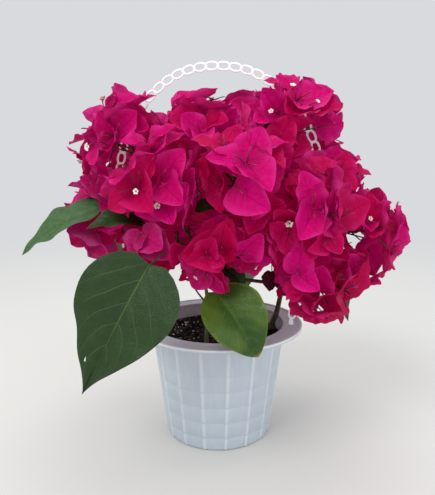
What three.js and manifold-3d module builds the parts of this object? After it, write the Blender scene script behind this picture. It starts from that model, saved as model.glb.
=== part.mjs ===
// A bougainvillea in full bloom in its tapered plastic pot, with a carrying strap of moulded rings.
// Millimetres. The origin is the middle of the pot's flat underside, +Z is up, +X is to the right
// and -Y is the front.
import * as THREE from "three";
import { mergeVertices } from "three/addons/utils/BufferGeometryUtils.js";
import Module from "manifold-3d";

const wasm = await Module();
wasm.setup();

// Clearance that touching pieces keep
const GAP = 0.3;

// Pot
const POT_HEIGHT = 108;
const BASE_RADIUS = 49.3;
const WALL_TOP_RADIUS = 62.8;
const WALL = 1.9;
const FLOOR = 3;
const BASE_ROUND = 2;
const OPENING_RADIUS = 62;
const FLANGE_RADIUS = 80;
const FLANGE_UNDER = 105.2;
const FLANGE_DISH = 1;
// The flange's upper face from its edge inwards: how far in and how far down each point lies
const LIP_CHAMFER = [0, 0.6];
const LIP_EDGE = [0.8, 0];
const LIP_FOOT = [2.4, 0.7];
const DISH_WIDTH = 7;
const COLLAR_WIDTH = 1;
const RIBS = 16;
const FIRST_RIB_DEG = 8;
const RIB_HEIGHT = 0.9;
const RIB_TOP_DEG = 2.2;
const RIB_FOOT_DEG = 3.6;

// Soil
const SOIL_TOP = 97;
const SOIL_EDGE_WIDTH = 4;
const SOIL_EDGE_DROP = 1.4;
const SOIL_SIDES = 28;

// Carrying strap
const STRAP_TURN_DEG = -6;
const STRAP_THICKNESS = 1.6;
const RING_PITCH = 10.5;
const RING_HALF_WIDTH = 4.3;
const RING_HOLE_HALF_WIDTH = 2.6;
// Where a ring gets its full width and where its hole starts, as shares of the pitch
const RING_SHOULDER = 0.27;
const HOLE_START = 0.14;
const NECK_HALF_WIDTH = 1.3;
const TONGUE_RADIUS = 69.5;
const TONGUE_HALF_WIDTH = 2.2;
const NUB_HALF_WIDTH = 4;
const NUB_HEIGHT = 2.6;
const FOOT_HEIGHT = 5;
const SLOT_DEPTH = 12;
// The right foot, the way up and over the top, and down to the left foot
const STRAP_PATH = [
  [TONGUE_RADIUS, POT_HEIGHT + FOOT_HEIGHT],
  [80, 152],
  [92, 196],
  [94.5, 240],
  [84, 281],
  [62, 316],
  [31, 337.5],
  [-4, 343.5],
  [-37, 336.5],
  [-66, 313.5],
  [-87, 276],
  [-94, 236],
  [-91, 192],
  [-80, 150],
  [-TONGUE_RADIUS, POT_HEIGHT + FOOT_HEIGHT],
];

// Crown
const CROWN_HEART = new THREE.Vector3(14, 4, 205);
const BRACT_LENGTH = 34;
const BRACT_WIDTH = 0.88;
const BRACT_THICKNESS = 0.7;
const BRACT_OPEN_DEG = 50;
const BRACT_SUNK = 0.4;
const HUB_RADIUS = 2;
const HUB_TOP = 1.6;
const HUB_NECK = 2.8;
const HUB_CLEAR = 4;
const TWIG_RADIUS = 0.9;
const TWIG_FOOT_RADIUS = 0.54;
const FIRST_SEED = 7919;
const SEED_STEP = 613;
const GROUP_SPREAD = 0.46;
const GROUP_OUTWARD = 0.35;
const GROUP_LEAN = 0.5;
const GROUP_CAP_DEG = 108;
const FIRST_GROUP_AT = 0.3;
// The least and the range of what a group's spread, length and opening are multiplied by, and the
// middle of its lean
const SPREAD_VARIES = [0.86, 0.28];
const LENGTH_VARIES = [0.92, 0.16];
const OPEN_VARIES = [0.85, 0.3];
const LEAN_MIDDLE = [0.5, 0.5, 0.2];
const GOLDEN_DEG = 137.508;
const SPACE_MARGIN = 0.02;
const STEM_RADII = [1, 0.8];
const STEM_STEPS = 2;
const STEM_BEND = 6;
const STEM_PAST_MIDDLE = 4;
const FIRST_TWIG_AT = 0.3;
const LAST_TWIG_AT = 0.98;
// How a bract is set where it has no room at first: shares of its opening, turns and shares of its
// length
const OPEN_TRIES = [1, 0.8, 1.22, 0.6, 1.4];
const TURN_TRIES = [0, 0.35, -0.35];
const LENGTH_TRIES = [1, 0.84];
const TWIST_TRIES = [0, 0.52, 1.05, 1.57];
const FEWEST_BRACTS = 2;

// Each mass of blossom: its middle, its reach each way, its number of flower groups and the limb that
// it grows from
const MASSES = {
  top_left: { middle: [-84, -16, 284], reach: [52, 50, 47], groups: 14, on: "thin_stem" },
  top_centre: { middle: [-18, -18, 286], reach: [48, 45, 43], groups: 13, on: "bough_top_centre" },
  top_right: { middle: [62, -8, 291], reach: [53, 50, 48], groups: 14, on: "bough_top_right" },
  right_shoulder: { middle: [99, -2, 247], reach: [45, 50, 44], groups: 13, on: "bough_right_shoulder" },
  far_right: { middle: [133, -6, 197], reach: [47, 52, 48], groups: 14, on: "bough_far_right" },
  low_right: { middle: [91, -40, 162], reach: [54, 50, 44], groups: 14, on: "bough_low_right" },
  front_right: { middle: [74, -58, 222], reach: [50, 52, 50], groups: 14, on: "bough_front_right" },
  front_centre: { middle: [14, -62, 248], reach: [52, 54, 50], groups: 14, on: "bough_front_centre" },
  front_low: { middle: [4, -58, 192], reach: [52, 52, 45], groups: 14, on: "bough_front_low" },
  front_left: { middle: [-49, -52, 245], reach: [50, 54, 50], groups: 14, on: "bough_front_left" },
  low_left: { middle: [-50, -48, 198], reach: [48, 48, 41], groups: 11, on: "bough_low_left" },
  left: { middle: [-100, -14, 216], reach: [48, 52, 50], groups: 13, on: "bough_left" },
  back_left: { middle: [-72, 48, 246], reach: [58, 58, 56], groups: 14, on: "bough_back_left" },
  back_left_low: { middle: [-58, 52, 192], reach: [54, 52, 43], groups: 13, on: "bough_back_left_low" },
  back_centre: { middle: [4, 62, 258], reach: [52, 56, 54], groups: 14, on: "bough_back_centre" },
  back_right: { middle: [78, 52, 252], reach: [56, 56, 54], groups: 14, on: "bough_back_right" },
  back_right_low: { middle: [92, 46, 192], reach: [56, 54, 48], groups: 13, on: "bough_back_right_low" },
  back_low: { middle: [18, 64, 196], reach: [52, 52, 45], groups: 13, on: "bough_back_low" },
  top_back: { middle: [24, 34, 290], reach: [48, 44, 40], groups: 9, on: "bough_top_back" },
};

// Limbs that the photograph shows: the limb and the place on it that each leaves, the points of its
// path, and its radius at the foot and the tip
const LIMBS = {
  main_stem: {
    path: [
      [53, 9, SOIL_TOP + GAP],
      [53.4, 9, 103],
      [56.4, 8.6, 111.5],
      [59.4, 8, 126],
      [61.6, 8, 141],
      [60.6, 7, 156],
    ],
    radii: [2.7, 2.1],
    flare: 1.6,
  },
  thin_stem: {
    path: [
      [-10.9, -32, SOIL_TOP + GAP],
      [-10.9, -32, 104],
      [-10.7, -32, 145],
      [-16, -31, 176],
      [-34, -28, 210],
      [-58, -22, 246],
    ],
    radii: [1.6, 1.1],
    flare: 0.8,
  },
  bough_top_centre: {
    from: "main_stem",
    at: 1,
    path: [
      [56, 8, 172],
      [46, 8, 196],
      [28, 4, 226],
      [4, -6, 252],
    ],
    radii: [1.9, 1.2],
  },
  bough_left: {
    from: "main_stem",
    at: 0.84,
    path: [
      [46, 3, 145.5],
      [34, 2, 147],
      [16, 2, 149.5],
      [-18, 0, 162],
      [-60, -6, 192],
    ],
    radii: [1.8, 1.1],
  },
  bough_far_right: {
    from: "main_stem",
    at: 0.88,
    path: [
      [72, 4.6, 161],
      [80, 4, 170],
      [96, 2, 182],
      [109, 0, 190],
    ],
    radii: [1.6, 1.1],
  },
};

// Boughs worked out from the limb that they leave, how far along it, and the mass that they enter
const BOUGHS = {
  bough_top_right: { from: "bough_top_centre", at: 0.5, into: "top_right" },
  bough_right_shoulder: { from: "bough_far_right", at: 0.66, into: "right_shoulder" },
  bough_low_right: { from: "bough_far_right", at: 0.4, into: "low_right" },
  bough_front_right: { from: "bough_top_centre", at: 0.22, into: "front_right" },
  bough_front_centre: { from: "bough_top_centre", at: 0.74, into: "front_centre" },
  bough_front_low: { from: "thin_stem", at: 0.42, into: "front_low" },
  bough_low_left: { from: "thin_stem", at: 0.52, into: "low_left", tip: 0.2 },
  bough_front_left: { from: "thin_stem", at: 0.8, into: "front_left" },
  bough_back_left: { from: "bough_left", at: 0.82, into: "back_left" },
  bough_back_left_low: { from: "bough_left", at: 0.68, into: "back_left_low" },
  bough_back_centre: { from: "bough_top_centre", at: 0.66, into: "back_centre" },
  bough_back_right: { from: "bough_top_centre", at: 0.36, into: "back_right" },
  bough_back_right_low: { from: "bough_far_right", at: 0.52, into: "back_right_low" },
  bough_back_low: { from: "bough_left", at: 0.46, into: "back_low" },
  bough_top_back: { from: "bough_top_centre", at: 0.86, into: "top_back" },
};
const LIMB_SIDES = 5;
const LIMB_STEP = 18;
const FLARE_FADE = 22;
const BOUGH_RADII = [1.4, 1];
const BOUGH_RISE = 0.1;
const BOUGH_TIP_SHARE = 0.62;

// Leaves: the limb that carries the stalk, the base and the tip of the blade, the way its upper face
// looks, its width as a share of its length, how thin it tapers to the tip, its fold along the midrib
// and its droop
const LEAVES = {
  leaf_front_left: {
    from: "thin_stem", at: 0.5, base: [-52, -108, 187], tip: [-106, -112, 84],
    up: [0.05, -1.1, 0.35], width: 0.66, taper: 1.5, fold: 0.1, droop: 0.07,
  },
  leaf_front_centre: {
    from: "thin_stem", at: 0.36, base: [-2, -64, 154], tip: [32, -91, 107],
    up: [0, -0.78, 0.54], width: 0.8, taper: 0.75, fold: 0.2, droop: 0.12,
  },
  leaf_left: {
    from: "bough_left", at: 0.97, base: [-102, -30, 221], tip: [-171, -40, 180],
    up: [-0.2, -0.5, 0.85], width: 0.46, taper: 1, fold: 0.12, droop: 0.08,
  },
  leaf_left_inner: {
    from: "bough_left", at: 0.9, base: [-64, -42, 209], tip: [-108, -66, 207],
    up: [-0.1, -0.55, 0.8], width: 0.6, taper: 1.1, fold: 0.16, droop: 0.12,
  },
  leaf_shade: {
    from: "bough_left", at: 0.5, base: [4, -24, 168], tip: [24, -34, 149],
    up: [0.2, -0.9, 0.4], width: 0.8, taper: 1, fold: 0.14, droop: 0.1,
  },
  leaf_low_right: {
    from: "bough_far_right", at: 0.5, base: [92, -8, 148], tip: [114, -46, 122],
    up: [0.5, -0.3, 0.8], width: 0.66, taper: 1.2, fold: 0.14, droop: 0.12,
  },
  leaf_back_left: {
    from: "bough_left", at: 0.8, base: [-74, 62, 184], tip: [-112, 104, 140],
    up: [-0.5, 0.6, 0.6], width: 0.74, taper: 1.2, fold: 0.12, droop: 0.12,
  },
  leaf_back_right: {
    from: "bough_far_right", at: 0.42, base: [84, 62, 172], tip: [118, 96, 118],
    up: [0.5, 0.6, 0.6], width: 0.76, taper: 1.2, fold: 0.12, droop: 0.12,
  },
  leaf_back_low: {
    from: "bough_left", at: 0.3, base: [24, 62, 146], tip: [18, 92, 100],
    up: [0, 0.85, 0.5], width: 0.8, taper: 1.2, fold: 0.14, droop: 0.12,
  },
};
const LEAF_THICKNESS = 1.3;
const LEAF_STATIONS = 6;
const LEAF_BASE_POWER = 0.5;
const STALK_RADIUS = 1.1;
const STALK_STEPS = 4;
const STALK_RISE = 0.12;
const STALK_SUNK_AT = 0.09;
const LEAF_CLEAR = 6.5;

// A faded bract that hangs on its thread below the fork
const FADED = { from: "bough_top_centre", at: 0.1, root: [50, -8, 158], tip: [51, -9, 139.5] };
const THREAD_RADIUS = 0.5;
const THREAD_LIFT = 8;
const THREAD_SUNK = 2;

// What blossom keeps clear of: how far from the strap's, the limbs' and the stalks' surfaces, and the
// steps along them
const STRAP_CLEAR = 1.6;
const LIMB_CLEAR = 1.8;
const STALK_CLEAR = 2;
const STRAP_CLEAR_STEP = 4;
const LIMB_CLEAR_STEP = 3;

const toVector = (p) => new THREE.Vector3(...p);
const radians = THREE.MathUtils.degToRad;

// Numbers between 0 and 1 that are the same on every run
function numbersFrom(seed) {
  let state = seed >>> 0;
  return () => {
    state = (Math.imul(state, 1664525) + 1013904223) >>> 0;
    return state / 4294967296;
  };
}

// Solids and geometries

function toSolid(geometry) {
  const plain = geometry.index ? geometry.toNonIndexed() : geometry.clone();
  plain.deleteAttribute("normal");
  plain.deleteAttribute("uv");
  const merged = mergeVertices(plain, 1e-4);
  const mesh = new wasm.Mesh({
    numProp: 3,
    vertProperties: merged.attributes.position.array,
    triVerts: new Uint32Array(merged.index.array),
  });
  return new wasm.Manifold(mesh);
}

function toGeometry(solid) {
  const mesh = solid.getMesh();
  const geometry = new THREE.BufferGeometry();
  geometry.setAttribute("position", new THREE.BufferAttribute(mesh.vertProperties, 3));
  geometry.setIndex(new THREE.BufferAttribute(mesh.triVerts, 1));
  geometry.computeVertexNormals();
  return geometry;
}

function closedGeometry(points, faces) {
  const geometry = new THREE.BufferGeometry();
  geometry.setFromPoints(points);
  geometry.setIndex(faces.flat());
  return geometry;
}

// The largest body of a fused solid, without loose scraps
function mainBody(solid) {
  const bodies = solid.decompose();
  return bodies.reduce((best, body) => (body.volume() > best.volume() ? body : best));
}

// A round limb along a curve, with its own radius at each share of the length
function taperedTube(curve, radiusAt, sides, steps) {
  const geometry = new THREE.CylinderGeometry(1, 1, 1, sides, steps);
  const frames = curve.computeFrenetFrames(steps);
  const position = geometry.attributes.position;
  const local = new THREE.Vector3();
  for (let i = 0; i < position.count; i++) {
    local.fromBufferAttribute(position, i);
    const ring = Math.round((local.y + 0.5) * steps);
    const share = ring / steps;
    const radius = radiusAt(share);
    const place = curve.getPointAt(share);
    place.addScaledVector(frames.normals[ring], local.x * radius);
    place.addScaledVector(frames.binormals[ring], -local.z * radius);
    position.setXYZ(i, place.x, place.y, place.z);
  }
  return geometry;
}

// Pot: the wall with ribs, the dished flange with its turned-down skirt, and two slots for the strap

function wallRadius(height) {
  return THREE.MathUtils.mapLinear(height, 0, FLANGE_UNDER, BASE_RADIUS, WALL_TOP_RADIUS);
}

function potProfile() {
  const lip = [LIP_CHAMFER, LIP_EDGE, LIP_FOOT];
  const profile = [
    [0, 0],
    [BASE_RADIUS - BASE_ROUND, 0],
    [wallRadius(BASE_ROUND), BASE_ROUND],
    [WALL_TOP_RADIUS, FLANGE_UNDER],
    [FLANGE_RADIUS, FLANGE_UNDER],
    ...lip.map(([inwards, down]) => [FLANGE_RADIUS - inwards, POT_HEIGHT - down]),
    [OPENING_RADIUS + DISH_WIDTH, POT_HEIGHT - FLANGE_DISH],
    [OPENING_RADIUS + COLLAR_WIDTH, POT_HEIGHT],
    [OPENING_RADIUS, POT_HEIGHT - FLANGE_DISH],
    [wallRadius(FLOOR) - WALL, FLOOR],
    [0, FLOOR],
  ];
  return profile.map(([r, z]) => new THREE.Vector2(r, z));
}

function potBody() {
  const ribPitch = 360 / RIBS;
  const columns = [-RIB_FOOT_DEG / 2, -RIB_TOP_DEG / 2, RIB_TOP_DEG / 2, RIB_FOOT_DEG / 2, ribPitch / 2];
  const profile = potProfile();
  const geometry = new THREE.LatheGeometry(profile, RIBS * columns.length);
  const position = geometry.attributes.position;
  for (let i = 0; i < position.count; i++) {
    const column = Math.floor(i / profile.length);
    const point = profile[i % profile.length];
    const inRib = column % columns.length;
    const rib = Math.floor(column / columns.length);
    const turn = radians(FIRST_RIB_DEG + rib * ribPitch + columns[inRib]);
    const onWall = point === profile[2] || point === profile[3];
    const onRib = inRib === 1 || inRib === 2;
    const radius = point.x + (onWall && onRib ? RIB_HEIGHT : 0);
    position.setXYZ(i, radius * Math.sin(turn), -radius * Math.cos(turn), point.y);
  }
  return toSolid(geometry);
}

function slotCutter(side) {
  const width = 2 * (TONGUE_HALF_WIDTH + GAP);
  const slot = new THREE.BoxGeometry(width, STRAP_THICKNESS + 2 * GAP, SLOT_DEPTH);
  slot.translate(side * TONGUE_RADIUS, 0, POT_HEIGHT);
  slot.rotateZ(radians(STRAP_TURN_DEG));
  return toSolid(slot);
}

function makePot() {
  return toGeometry(potBody().subtract(slotCutter(1)).subtract(slotCutter(-1)));
}

function makeSoil() {
  const inner = (height) => wallRadius(height) - WALL - GAP;
  const profile = [
    [0, FLOOR + GAP],
    [inner(FLOOR), FLOOR + GAP],
    [inner(SOIL_TOP - SOIL_EDGE_DROP), SOIL_TOP - SOIL_EDGE_DROP],
    [inner(SOIL_TOP) - SOIL_EDGE_WIDTH, SOIL_TOP],
    [0, SOIL_TOP],
  ];
  const points = profile.map(([r, z]) => new THREE.Vector2(r, z));
  return new THREE.LatheGeometry(points, SOIL_SIDES).rotateX(Math.PI / 2);
}

// Carrying strap: a flat chain of moulded rings with a tongue and a nub at each end

function strapCurve() {
  return new THREE.CatmullRomCurve3(STRAP_PATH.map(([x, z]) => new THREE.Vector3(x, z, 0)));
}

// A point beside the strap's centre line
function besideStrap(curve, share, offset) {
  const place = curve.getPointAt(share);
  const ahead = curve.getTangentAt(share);
  return new THREE.Vector2(place.x - ahead.y * offset, place.y + ahead.x * offset);
}

function strapFoot(side) {
  const under = FLANGE_UNDER - GAP;
  const outline = [
    [NECK_HALF_WIDTH, POT_HEIGHT + FOOT_HEIGHT],
    [TONGUE_HALF_WIDTH, POT_HEIGHT + 1],
    [TONGUE_HALF_WIDTH, under],
    [NUB_HALF_WIDTH, under],
    [NUB_HALF_WIDTH, under - NUB_HEIGHT],
  ];
  const right = outline.map(([x, z]) => new THREE.Vector2(side * TONGUE_RADIUS + x, z));
  const left = outline.map(([x, z]) => new THREE.Vector2(side * TONGUE_RADIUS - x, z));
  return [...left, ...right.reverse()];
}

function makeStrap() {
  const curve = strapCurve();
  const rings = Math.round(curve.getLength() / RING_PITCH);
  const outer = [];
  const inner = [];
  const holes = [];
  for (let ring = 0; ring < rings; ring++) {
    const at = (part) => (ring + part) / rings;
    if (ring > 0) {
      outer.push(besideStrap(curve, at(0), -NECK_HALF_WIDTH));
      inner.push(besideStrap(curve, at(0), NECK_HALF_WIDTH));
    }
    for (const part of [RING_SHOULDER, 1 - RING_SHOULDER]) {
      outer.push(besideStrap(curve, at(part), -RING_HALF_WIDTH));
      inner.push(besideStrap(curve, at(part), RING_HALF_WIDTH));
    }
    const hole = [
      besideStrap(curve, at(HOLE_START), 0),
      besideStrap(curve, at(0.5), -RING_HOLE_HALF_WIDTH),
      besideStrap(curve, at(1 - HOLE_START), 0),
      besideStrap(curve, at(0.5), RING_HOLE_HALF_WIDTH),
    ];
    holes.push(new THREE.Path(hole));
  }
  const shape = new THREE.Shape([...strapFoot(1), ...outer, ...strapFoot(-1), ...inner.reverse()]);
  shape.holes = holes;
  const strap = new THREE.ExtrudeGeometry(shape, { depth: STRAP_THICKNESS, bevelEnabled: false });
  strap.translate(0, 0, -STRAP_THICKNESS / 2);
  strap.rotateX(Math.PI / 2);
  strap.rotateZ(radians(STRAP_TURN_DEG));
  return toGeometry(toSolid(strap));
}

// Limbs

class Limb {
  constructor(points, radii, flare = 0) {
    this.curve = new THREE.CatmullRomCurve3(points);
    this.radii = radii;
    this.flare = flare;
  }

  radiusAt(share) {
    const [foot, tip] = this.radii;
    return foot + (tip - foot) * share + this.flare * Math.exp(-share * FLARE_FADE);
  }

  makeGeometry() {
    const steps = Math.max(4, Math.round(this.curve.getLength() / LIMB_STEP));
    return taperedTube(this.curve, (share) => this.radiusAt(share), LIMB_SIDES, steps);
  }
}

function outwardOf(mass) {
  return toVector(mass.middle).sub(CROWN_HEART).normalize();
}

// The point where a mass's stem starts: inside its space, on the side that faces the crown's heart
function massEntry(mass, share = BOUGH_TIP_SHARE) {
  const outward = outwardOf(mass).multiply(toVector(mass.reach));
  return toVector(mass.middle).addScaledVector(outward, -share);
}

// A foot just clear of the carrying limb, on the side that faces a goal, or on its tip
function footOn(limb, at, goal, radius) {
  const place = limb.curve.getPointAt(at);
  const along = limb.curve.getTangentAt(at);
  const away = goal.clone().sub(place);
  away.addScaledVector(along, -away.dot(along)).normalize();
  const clear = at < 1 ? limb.radiusAt(at) + GAP : GAP;
  const direction = at < 1 ? away : along;
  const foot = place.clone().addScaledVector(direction, clear);
  const out = place.clone().addScaledVector(direction, clear + 3 * radius + 1);
  return [foot, out];
}

function makeLimbs() {
  const limbs = {};
  for (const [name, { from, at, path, radii, flare }] of Object.entries(LIMBS)) {
    const points = path.map(toVector);
    const start = from ? footOn(limbs[from], at, points[0], radii[0]) : [];
    limbs[name] = new Limb([...start, ...points], radii, flare);
  }
  for (const [name, { from, at, into, tip }] of Object.entries(BOUGHS)) {
    const entry = massEntry(MASSES[into], tip);
    const [foot, out] = footOn(limbs[from], at, entry, BOUGH_RADII[0]);
    const middle = out.clone().lerp(entry, 0.5);
    middle.z += BOUGH_RISE * out.distanceTo(entry);
    limbs[name] = new Limb([foot, out, middle, entry], BOUGH_RADII);
  }
  return limbs;
}

// Leaves

// Half of a leaf's width at a share of its length, against its greatest half width
function leafProfile(leaf, share) {
  const form = (at) => Math.pow(at, LEAF_BASE_POWER) * Math.pow(1 - at, leaf.taper);
  const widest = LEAF_BASE_POWER / (LEAF_BASE_POWER + leaf.taper);
  return form(share) / form(widest);
}

// The midrib's frame: along it, across it and up from the upper face
function leafFrame(leaf) {
  const base = toVector(leaf.base);
  const length = base.distanceTo(toVector(leaf.tip));
  const along = toVector(leaf.tip).sub(base).divideScalar(length);
  const across = along.clone().cross(toVector(leaf.up)).normalize();
  const up = across.clone().cross(along).normalize();
  return { base, length, along, across, up };
}

// A point of the blade: share runs from base to tip, side from -1 to 1
function leafPoint(leaf, frame, share, side) {
  const half = 0.5 * leaf.width * frame.length * leafProfile(leaf, share);
  const arch = frame.length * leaf.droop * Math.sin(Math.PI * share);
  const rise = arch + Math.abs(side) * 2 * half * leaf.fold;
  const point = frame.base.clone();
  point.addScaledVector(frame.along, share * frame.length);
  point.addScaledVector(frame.across, side * half);
  return point.addScaledVector(frame.up, rise);
}

function bladeGeometry(leaf) {
  const frame = leafFrame(leaf);
  const points = [leafPoint(leaf, frame, 0, 0)];
  const faces = [];
  for (let row = 1; row < LEAF_STATIONS; row++) {
    const share = row / LEAF_STATIONS;
    const middle = leafPoint(leaf, frame, share, 0);
    const under = middle.clone().addScaledVector(frame.up, -LEAF_THICKNESS);
    points.push(leafPoint(leaf, frame, share, -1), middle, leafPoint(leaf, frame, share, 1), under);
  }
  const tip = points.length;
  points.push(leafPoint(leaf, frame, 1, 0));
  for (let spot = 0; spot < 4; spot++) {
    const next = (spot + 1) % 4;
    const last = tip - 4;
    faces.push([0, 1 + spot, 1 + next], [tip, last + next, last + spot]);
    for (let here = 1; here < last; here += 4) {
      const [a, b, c, d] = [here + spot, here + next, here + 4 + next, here + 4 + spot];
      faces.push([a, d, c], [a, c, b]);
    }
  }
  return closedGeometry(points, faces);
}

function outward(solid, geometry) {
  if (solid.volume() >= 0) {
    return solid;
  }
  const index = geometry.index.array;
  for (let i = 0; i < index.length; i += 3) {
    [index[i + 1], index[i + 2]] = [index[i + 2], index[i + 1]];
  }
  return toSolid(geometry);
}

function closedSolid(geometry) {
  return outward(toSolid(geometry), geometry);
}

function stalkCurve(leaf, limbs) {
  const frame = leafFrame(leaf);
  const [foot, out] = footOn(limbs[leaf.from], leaf.at, frame.base, STALK_RADIUS);
  const sunk = leafPoint(leaf, frame, STALK_SUNK_AT, 0).addScaledVector(frame.up, -LEAF_THICKNESS / 2);
  const middle = out.clone().lerp(frame.base, 0.6);
  middle.z += STALK_RISE * out.distanceTo(frame.base);
  return new THREE.CatmullRomCurve3([foot, out, middle, sunk]);
}

function makeLeaf(leaf, limbs) {
  const stalk = taperedTube(stalkCurve(leaf, limbs), () => STALK_RADIUS, 4, STALK_STEPS);
  return toGeometry(mainBody(closedSolid(bladeGeometry(leaf)).add(toSolid(stalk))));
}

// What the blossom keeps clear of: balls along the limbs, the stalks, the leaves and the strap

function ballsAlong(curve, radius, step) {
  const count = Math.ceil(curve.getLength() / step);
  return curve.getSpacedPoints(count).map((place) => ({ place, radius }));
}

function strapInSpace() {
  const turn = new THREE.Matrix4().makeRotationZ(radians(STRAP_TURN_DEG));
  const points = STRAP_PATH.map(([x, z]) => new THREE.Vector3(x, 0, z).applyMatrix4(turn));
  return new THREE.CatmullRomCurve3(points);
}

function ballsOfLeaf(leaf) {
  const frame = leafFrame(leaf);
  const balls = [];
  for (let row = 0; row <= 10; row++) {
    for (const side of [-1, -0.67, -0.33, 0, 0.33, 0.67, 1]) {
      balls.push({ place: leafPoint(leaf, frame, row / 10, side), radius: LEAF_CLEAR });
    }
  }
  return balls;
}

function ballsOfAll(limbs) {
  const balls = ballsAlong(strapInSpace(), RING_HALF_WIDTH + STRAP_CLEAR, STRAP_CLEAR_STEP);
  for (const limb of Object.values(limbs)) {
    balls.push(...ballsAlong(limb.curve, limb.radii[0] + LIMB_CLEAR, LIMB_CLEAR_STEP));
  }
  for (const leaf of Object.values(LEAVES)) {
    balls.push(...ballsAlong(stalkCurve(leaf, limbs), STALK_RADIUS + STALK_CLEAR, LIMB_CLEAR_STEP));
    balls.push(...ballsOfLeaf(leaf));
  }
  return balls;
}

// How far out a point lies in a mass's space: 0 in the middle, 1 at its reach
function depthIn(mass, point) {
  const [x, y, z] = mass.middle;
  const [rx, ry, rz] = mass.reach;
  return Math.hypot((point.x - x) / rx, (point.y - y) / ry, (point.z - z) / rz);
}

function inOwnSpace(mass, point) {
  const own = depthIn(mass, point);
  if (own > 1) {
    return false;
  }
  const isNearest = (other) => other === mass || depthIn(other, point) > own + SPACE_MARGIN;
  return Object.values(MASSES).every(isNearest);
}

function isClear(point, balls) {
  return balls.every((ball) => point.distanceTo(ball.place) > ball.radius);
}

// Blossom: groups of three bracts on twigs

// The bract's outline and its raised middle, as shares of its length: along, across and up
const BRACT_OUTLINE = [
  [0, 0, 0],
  [0.34, 0.5, 0.07],
  [0.7, 0.36, 0.02],
  [1, 0, -0.1],
  [0.7, -0.36, 0.02],
  [0.34, -0.5, 0.07],
];
const BRACT_MIDDLE = [0.46, 0, -0.03];

function bractPoint(bract, [along, across, up]) {
  const point = bract.root.clone();
  point.addScaledVector(bract.along, along * bract.length);
  point.addScaledVector(bract.across, across * bract.length * BRACT_WIDTH);
  return point.addScaledVector(bract.up, up * bract.length);
}

// Points that stand for the whole bract where its clearance is tested
function bractSamples(bract) {
  const samples = [];
  const middle = bractPoint(bract, BRACT_MIDDLE);
  for (let i = 0; i < BRACT_OUTLINE.length; i++) {
    const corner = bractPoint(bract, BRACT_OUTLINE[i]);
    const next = bractPoint(bract, BRACT_OUTLINE[(i + 1) % BRACT_OUTLINE.length]);
    const edge = corner.clone().lerp(next, 0.5);
    samples.push(corner, edge, corner.clone().lerp(middle, 0.5), edge.clone().lerp(middle, 0.5));
  }
  return samples;
}

// Two directions square to an axis
function squareTo(axis) {
  const helper = Math.abs(axis.z) < 0.9 ? new THREE.Vector3(0, 0, 1) : new THREE.Vector3(1, 0, 0);
  const first = helper.cross(axis).normalize();
  return [first, axis.clone().cross(first)];
}

function placeBract(group, turn, openDeg, length) {
  const open = radians(openDeg);
  const [first, second] = squareTo(group.axis);
  const side = first.multiplyScalar(Math.cos(turn)).addScaledVector(second, Math.sin(turn));
  const along = group.axis.clone().multiplyScalar(Math.cos(open)).addScaledVector(side, Math.sin(open));
  const up = group.axis.clone().multiplyScalar(Math.sin(open)).addScaledVector(side, -Math.cos(open));
  const across = up.clone().cross(along);
  const root = group.place.clone().addScaledVector(along, -BRACT_SUNK);
  return { root, along, up, across, length };
}

// The groups of a mass, spread by a spiral over the side that looks out of the crown
function groupsOf(name, mass) {
  const random = numbersFrom(FIRST_SEED + SEED_STEP * Object.keys(MASSES).indexOf(name));
  const outwardAxis = outwardOf(mass);
  const [first, second] = squareTo(outwardAxis);
  const varied = ([least, range]) => least + range * random();
  const groups = [];
  const phase = random() * 2 * Math.PI;
  for (let i = 0; i < mass.groups; i++) {
    const away = radians(GROUP_CAP_DEG) * Math.sqrt((i + FIRST_GROUP_AT) / mass.groups);
    const around = phase + radians(GOLDEN_DEG) * i;
    const direction = outwardAxis.clone().multiplyScalar(Math.cos(away));
    direction.addScaledVector(first, Math.sin(away) * Math.cos(around));
    direction.addScaledVector(second, Math.sin(away) * Math.sin(around));
    const spread = GROUP_SPREAD * varied(SPREAD_VARIES);
    const place = direction.clone().multiply(toVector(mass.reach)).multiplyScalar(spread);
    place.add(toVector(mass.middle));
    const lean = toVector(LEAN_MIDDLE.map((middle) => random() - middle));
    const axis = direction.clone().addScaledVector(outwardAxis, GROUP_OUTWARD);
    axis.addScaledVector(lean, GROUP_LEAN).normalize();
    const twist = random() * 2 * Math.PI;
    const length = BRACT_LENGTH * varied(LENGTH_VARIES);
    const openDeg = BRACT_OPEN_DEG * varied(OPEN_VARIES);
    groups.push({ place, axis, twist, length, openDeg });
  }
  return groups;
}

// The triangles that fan out from a bract's middle, and their edges
function fanOf(bract) {
  const middle = bractPoint(bract, BRACT_MIDDLE);
  const rim = BRACT_OUTLINE.map((share) => bractPoint(bract, share));
  const fan = rim.map((corner, i) => [corner, rim[(i + 1) % rim.length], middle]);
  const edges = fan.flatMap(([a, b, c]) => [[a, b], [a, c]]);
  return { fan, edges };
}

// Whether an edge passes through a triangle away from the hub at a place
function passesThrough([from, to], [a, b, c], place) {
  const direction = to.clone().sub(from);
  const length = direction.length();
  const ray = new THREE.Ray(from, direction.divideScalar(length));
  const hit = ray.intersectTriangle(a, b, c, false, new THREE.Vector3());
  return hit !== null && hit.distanceTo(from) < length && hit.distanceTo(place) > HUB_CLEAR;
}

function crosses(made, others, place) {
  return others.some(
    (other) =>
      made.edges.some((edge) => other.fan.some((face) => passesThrough(edge, face, place))) ||
      other.edges.some((edge) => made.fan.some((face) => passesThrough(edge, face, place))),
  );
}

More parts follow.
